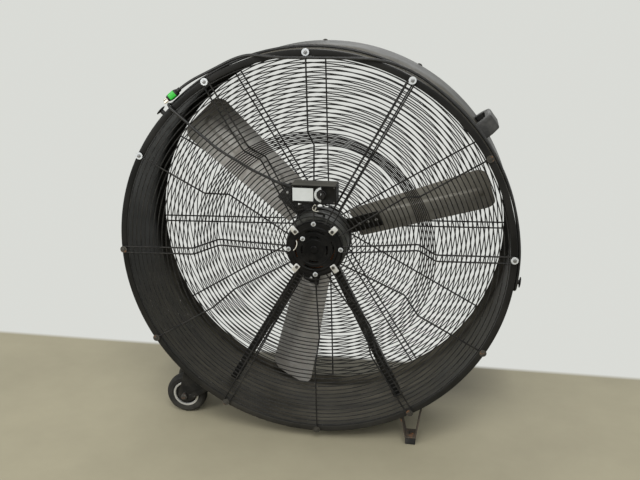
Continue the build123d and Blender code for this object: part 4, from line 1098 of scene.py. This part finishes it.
# control box, and what sits on its cover
box = {
    "x": 0.005, "z": 0.757, "width": 0.125, "front": -0.162, "recess": 0.0015, "knobX": 0.028,
    "arcThick": 0.0008, "screw": 0.0021, "screwHeight": 0.0012, "screwX": 0.0572, "screwZ": 0.0208,
    "screwRoll": (30, 20),
}


def makeBox():
    dressed("control_box_base", "box", 0.0012, 3)
    dressed("control_box_cover", "box", 0.0008, 3)
    dressed("guard_clamp_plate", "bracket", 0.0005)
    dressed("clamp_screws", "oldZinc", 0.0004)
    screw = panScrew("coverScrew", box["screw"], box["screwHeight"], steps=16)
    face = box["front"] + box["recess"]
    rollX, rollZ = box["screwRoll"]
    places = []
    for right, up in ((-1, -1), (-1, 1), (1, -1), (1, 1)):
        corner = shift(box["x"] + right * box["screwX"], face, box["z"] + up * box["screwZ"])
        places.append(corner @ turn(rollX * right + rollZ * up, "Y"))
    settled(repeated("coverScrews", screw, places), "darkSteel")


def makeKnob():
    # fluted grip on a skirt, with a bar across it and a pale pointer line
    knob = {
        "gap": 0.0003, "skirt": 0.0130, "grip": 0.0112, "height": 0.013, "flutes": 12, "flute": 0.0018,
        "fluteLong": 0.013, "fluteCircle": 0.0123, "fluteY": -0.0105,
        "bar": (0.0040, 0.0015, 0.0176), "barUp": 0.0005, "barEdge": 0.0006,
        "pointer": (0.0012, 0.0004, 0.0060), "pointerUp": 0.0011, "pointerOut": 0.0046,
        "pointerEdge": 0.0001,
    }
    place = shift(box["knobX"], box["front"] + box["recess"] - knob["gap"] - box["arcThick"], box["z"])
    skirt, grip, top = knob["skirt"], knob["grip"], -knob["height"]
    body = turnedPiece("speedKnob", [
        (0, 0), (skirt, 0), (skirt, -0.0016), (0.0119, -0.0028), (grip, -0.0036),
        (grip - 0.0004, top + 0.0010), (0.0098, top), (0, top)], steps=60)
    flutes = []
    for i in range(knob["flutes"]):
        a, out = 2 * pi * (i + 0.5) / knob["flutes"], knob["fluteCircle"]
        flutes.append(primitive(bpy.ops.mesh.primitive_cylinder_add, "flute", (90, 0, 0), vertices=12,
                                radius=knob["flute"], depth=knob["fluteLong"],
                                location=(out * cos(a), knob["fluteY"], out * sin(a))))
    carve(body, *flutes)
    bar = block("bar", knob["bar"], (0, top - knob["barUp"], 0), knob["barEdge"], segments=3)
    body = smoothed(joined("speedKnob", [body, bar]))
    settled(moved(body, place), "knob", "speed_knob", body="switch_knob")
    middle = (0, top - knob["pointerUp"], knob["pointerOut"])
    pointer = block("knobPointer", knob["pointer"], middle, knob["pointerEdge"])
    settled(moved(pointer, place), "label", body="switch_knob")


def makeDial():
    # ticks and plain numbers on the dial's arc
    dial = {
        "ticks": 9, "firstTick": 100, "tickStep": 20, "tickOut": 0.0202, "tickHigh": 0.00012,
        "tickWide": 0.0004, "longTick": (0.0024, 0.0011), "shortTick": (0.0014, 0.0006),
        "numbers": "3210", "firstNumber": 110, "numberStep": 46, "numberCircle": 0.0168, "size": 0.0034,
        "raised": 0.00006,
    }
    x, y, z = box["knobX"], box["front"] + box["recess"] - box["arcThick"], box["z"]
    ticks = []
    for i in range(dial["ticks"]):
        length, inward = dial["shortTick"] if i % 2 else dial["longTick"]
        tick = block("tick", (length, dial["tickHigh"], dial["tickWide"]), (dial["tickOut"] - inward, 0, 0))
        ticks.append(moved(tick, shift(x, y, z) @ turn(-(dial["firstTick"] + dial["tickStep"] * i), "Y")))
    settled(joined("dialTicks", ticks), "mark")
    numbers = []
    for i, text in enumerate(dial["numbers"]):
        a, out = radians(dial["firstNumber"] + dial["numberStep"] * i), dial["numberCircle"]
        bpy.ops.object.select_all(action="DESELECT")
        bpy.ops.object.text_add(location=(0, 0, 0))
        letter = bpy.context.active_object
        letter.data.body = text
        letter.data.size = dial["size"]
        letter.data.extrude = dial["raised"]
        letter.data.align_x = "CENTER"
        letter.data.align_y = "CENTER"
        bpy.ops.object.convert(target="MESH")
        letter = bpy.context.active_object
        numbers.append(moved(letter, shift(x + out * cos(a), y, z + out * sin(a)) @ turn(90, "X")))
    settled(joined("dialNumbers", numbers), "mark")


def makeGland():
    # hexagon nut on the box's side and a tapered, ringed strain relief, leaning up and forward with the cord
    gland = {
        "y": -0.135, "z": 0.771, "gap": 0.0003, "nut": 0.0108, "nutHigh": 0.0062, "ridges": 7,
        "firstRidge": 0.0055, "ridgePitch": 0.0034, "ridgeRadius": 0.0080, "taper": 0.00042,
        "leanFrom": 0.008, "lean": (14, 16),
    }
    x, y, z = box["x"] - box["width"] / 2, gland["y"], gland["z"]
    nut = hexHead("cordGland", gland["nut"], gland["nutHigh"])
    settled(moved(nut, shift(x - gland["gap"], y, z) @ turn(-90, "Z")), "plastic", "cord_gland")
    outline = [(0.0041, 0.0), (0.0082, 0.0)]
    for i in range(gland["ridges"]):
        d = gland["firstRidge"] + gland["ridgePitch"] * i
        r = gland["ridgeRadius"] - gland["taper"] * i
        outline += [(r, -d), (r - 0.0009, -d - 0.0006), (r - 0.0009, -d - 0.0016), (r - 0.0003, -d - 0.0022)]
    outline += [(0.0050, -0.0300), (0.0041, -0.0300)]
    relief = turnedPiece("cordRelief", outline, steps=32)
    leanX, leanZ = gland["lean"]
    for v in relief.data.vertices:
        out = max(-v.co.y - gland["leanFrom"], 0)
        v.co.x += out * out * leanX
        v.co.z += out * out * leanZ
    settled(moved(relief, shift(x, y, z) @ turn(-90, "Z")), "plastic")


def makeLead():
    # lead from the box down into the motor
    lead = {"diameter": 0.0062, "length": 0.098, "roundness": 3}
    route = [
        (0.012, -0.118, 0.7318), (0.010, -0.119, 0.7230), (0.004, -0.121, 0.7080), (0.006, -0.117, 0.6930),
        (0.016, -0.098, 0.6850), (0.021, -0.080, 0.6810), (0.0205, -0.0730, 0.6750), (0.020, -0.072, 0.6700),
    ]
    piece = settled(softLine("motorLead", route, lead["diameter"], lead["roundness"]), "cord")


def makeTies():
    # a nylon tie round the lead, with its tail in a bow, and the tail of another on the guard
    tie = {
        "loop": 0.0046, "thick": 0.0016, "bend": 0.0008, "wide": 2.0, "head": (0.0050, 0.0040, 0.0040),
        "headOut": 0.0062, "headEdge": 0.0006, "place": (0.0045, -0.1205, 0.7075), "turn": 115, "tip": 80,
        "bowThick": 0.0026, "bowBend": 0.0032, "tailThick": 0.0024, "tailBend": 0.004,
    }
    bow = [
        (0.0060, -0.1245, 0.7175), (-0.0005, -0.1262, 0.7165), (-0.0036, -0.1268, 0.7110),
        (-0.0030, -0.1265, 0.7050), (0.0015, -0.1255, 0.7005), (0.0085, -0.1240, 0.6990),
        (0.0130, -0.1230, 0.7005),
    ]
    tail = [
        (-0.0600, -0.1195, 0.5800), (-0.0545, -0.1225, 0.5855), (-0.0500, -0.1240, 0.5945),
        (-0.0485, -0.1235, 0.6035), (-0.0510, -0.1215, 0.6100),
    ]
    loop = [(tie["loop"] * cos(radians(a)), 0, tie["loop"] * sin(radians(a))) for a in range(0, 360, 30)]
    band = pipe("tie", loop, tie["thick"], tie["bend"], closed=True, segments=2)
    moved(band, Matrix.Diagonal((1, tie["wide"], 1, 1)))
    head = block("tieHead", tie["head"], (tie["headOut"], 0, 0), tie["headEdge"])
    bundle = joined("nylonTie", [band, head])
    moved(bundle, shift(*tie["place"]) @ turn(tie["turn"], "Y") @ turn(tie["tip"], "X"))
    first = joined("nylonTieLead", [bundle, pipe("bow", bow, tie["bowThick"], tie["bowBend"])])
    second = pipe("nylonTieGuard", tail, tie["tailThick"], tie["tailBend"])
    settled(first, "tie")
    settled(second, "tie")


makeBox()
makeKnob()
makeDial()
makeGland()
makeLead()
makeTies()
print("control box wired")


# finishes of the nodes that stay as the source has them
keptNodes = {
    "motor_bearings": "steel", "stator_core": "core", "stator_windings": "copper", "rotor_core": "core",
    "motor_shaft": "steel", "rotary_switch": "plastic", "run_capacitor": "plastic", "dial_arc": "label",
    "blank_label": "label",
}
for name, finish in keptNodes.items():
    nodes[name].data.materials.clear()
    nodes[name].data.materials.append(finishes[finish])
print("source's own pieces painted")


def showWall(tree, seen, plain, wall, output):
    # shows the wall's colour to the rays that see it, and lights the object with the plain one
    blend = node(tree, "ShaderNodeMixShader")
    for socket, value in zip(blend.inputs, (seen, plain, wall)):
        wireUp(tree, value, socket)
    out = next(n for n in tree.nodes if n.type == output)
    wireUp(tree, blend.outputs[0], out.inputs["Surface"])


def makeFloor(wall):
    # pale concrete that turns into the wall's colour behind the fan and far away
    look = {
        "size": 40, "under": 0.0005, "pale": (0.372, 0.338, 0.232), "dark": (0.315, 0.286, 0.196),
        "mottle": (2.2, 6, 0.65), "mottleEdge": (0.3, 0.7), "rough": 0.75, "grain": (260, 4),
        "bump": (0.08, 0.001), "shade": (0.050, 0.047, 0.035), "shadeStart": (0.10, 0.24),
        "shadeSide": (0.62, 0.36, (0.0, 0.8)),
        "wallStart": (0.385, 0.41), "farStart": (2.2, 3.6),
    }
    bpy.ops.object.select_all(action="DESELECT")
    bpy.ops.mesh.primitive_plane_add(size=look["size"], location=(0, 0, -look["under"]))
    floor = bpy.context.active_object
    floor.name = "floor"
    finish, tree, shader = newFinish("paleFloor")
    where = rawPlace(tree)
    x, y = partsOf(tree, where)[:2]
    place = objectPlace(tree)
    mottle = spread(tree, noiseOf(tree, place, *look["mottle"]), *look["mottleEdge"])
    top = mixed(tree, mottle, look["pale"], look["dark"])
    # the deep shade between the fan and the wall
    aside = maths(tree, x, 0.0, "ABSOLUTE")
    shade = maths(tree, spread(tree, y, *look["shadeStart"]), spread(tree, aside, *look["shadeSide"]))
    wireUp(tree, mixed(tree, shade, top, look["shade"]), shader.inputs["Base Color"])
    shader.inputs["Roughness"].default_value = look["rough"]
    bumped(tree, shader, noiseOf(tree, place, *look["grain"]), *look["bump"])
    distance = lengthOf(tree, where)
    behind = spread(tree, y, *look["wallStart"])
    away = maths(tree, behind, spread(tree, distance, *look["farStart"]), "MAXIMUM")
    rays = node(tree, "ShaderNodeLightPath").outputs
    seen = maths(tree, maths(tree, rays["Is Camera Ray"], rays["Is Glossy Ray"], "MAXIMUM"), away)
    glow = node(tree, "ShaderNodeEmission", Strength=1.0)
    wireUp(tree, wall, glow.inputs["Color"])
    showWall(tree, seen, shader.outputs[0], glow.outputs[0], "OUTPUT_MATERIAL")
    floor.data.materials.append(finish)


def makeWorld(wall):
    light = {"colour": (0.97, 0.985, 1.0), "strength": 0.55}
    world = bpy.data.worlds.new("studio")
    world.use_nodes = True
    bpy.context.scene.world = world
    tree = world.node_tree
    back = next(n for n in tree.nodes if n.type == "BACKGROUND")
    wireUp(tree, light["colour"], back.inputs["Color"])
    back.inputs["Strength"].default_value = light["strength"]
    seenWall = node(tree, "ShaderNodeBackground", Strength=1.0)
    wireUp(tree, wall, seenWall.inputs["Color"])
    rays = node(tree, "ShaderNodeLightPath").outputs
    seen = maths(tree, rays["Is Camera Ray"], rays["Is Glossy Ray"], "MAXIMUM")
    seen = maths(tree, seen, rays["Is Transmission Ray"], "MAXIMUM")
    showWall(tree, seen, back.outputs[0], seenWall.outputs[0], "OUTPUT_WORLD")


def makeLights():
    lamps = (
        {"name": "keyLight", "place": (0.4, -2.6, 3.4), "aim": (0.0, 0.0, 0.5), "size": 1.8, "power": 85},
        {"name": "sideLight", "place": (-2.4, -2.8, 1.6), "aim": (0.0, 0.0, 0.4), "size": 1.6, "power": 60},
        {"name": "backLight", "place": (0.4, 2.6, 2.6), "aim": (0.0, 0.0, 0.6), "size": 2.2, "power": 24},
    )
    for lamp in lamps:
        bpy.ops.object.light_add(type="AREA", location=lamp["place"])
        made = bpy.context.active_object
        made.name = lamp["name"]
        made.data.size = lamp["size"]
        made.data.energy = lamp["power"]
        back = Vector(lamp["place"]) - Vector(lamp["aim"])
        made.rotation_euler = back.to_track_quat("Z", "Y").to_euler()


wallColour = (0.70, 0.71, 0.675)
makeFloor(wallColour)
makeWorld(wallColour)
makeLights()
bpy.context.scene.view_settings.view_transform = "Standard"
print("stage lit")
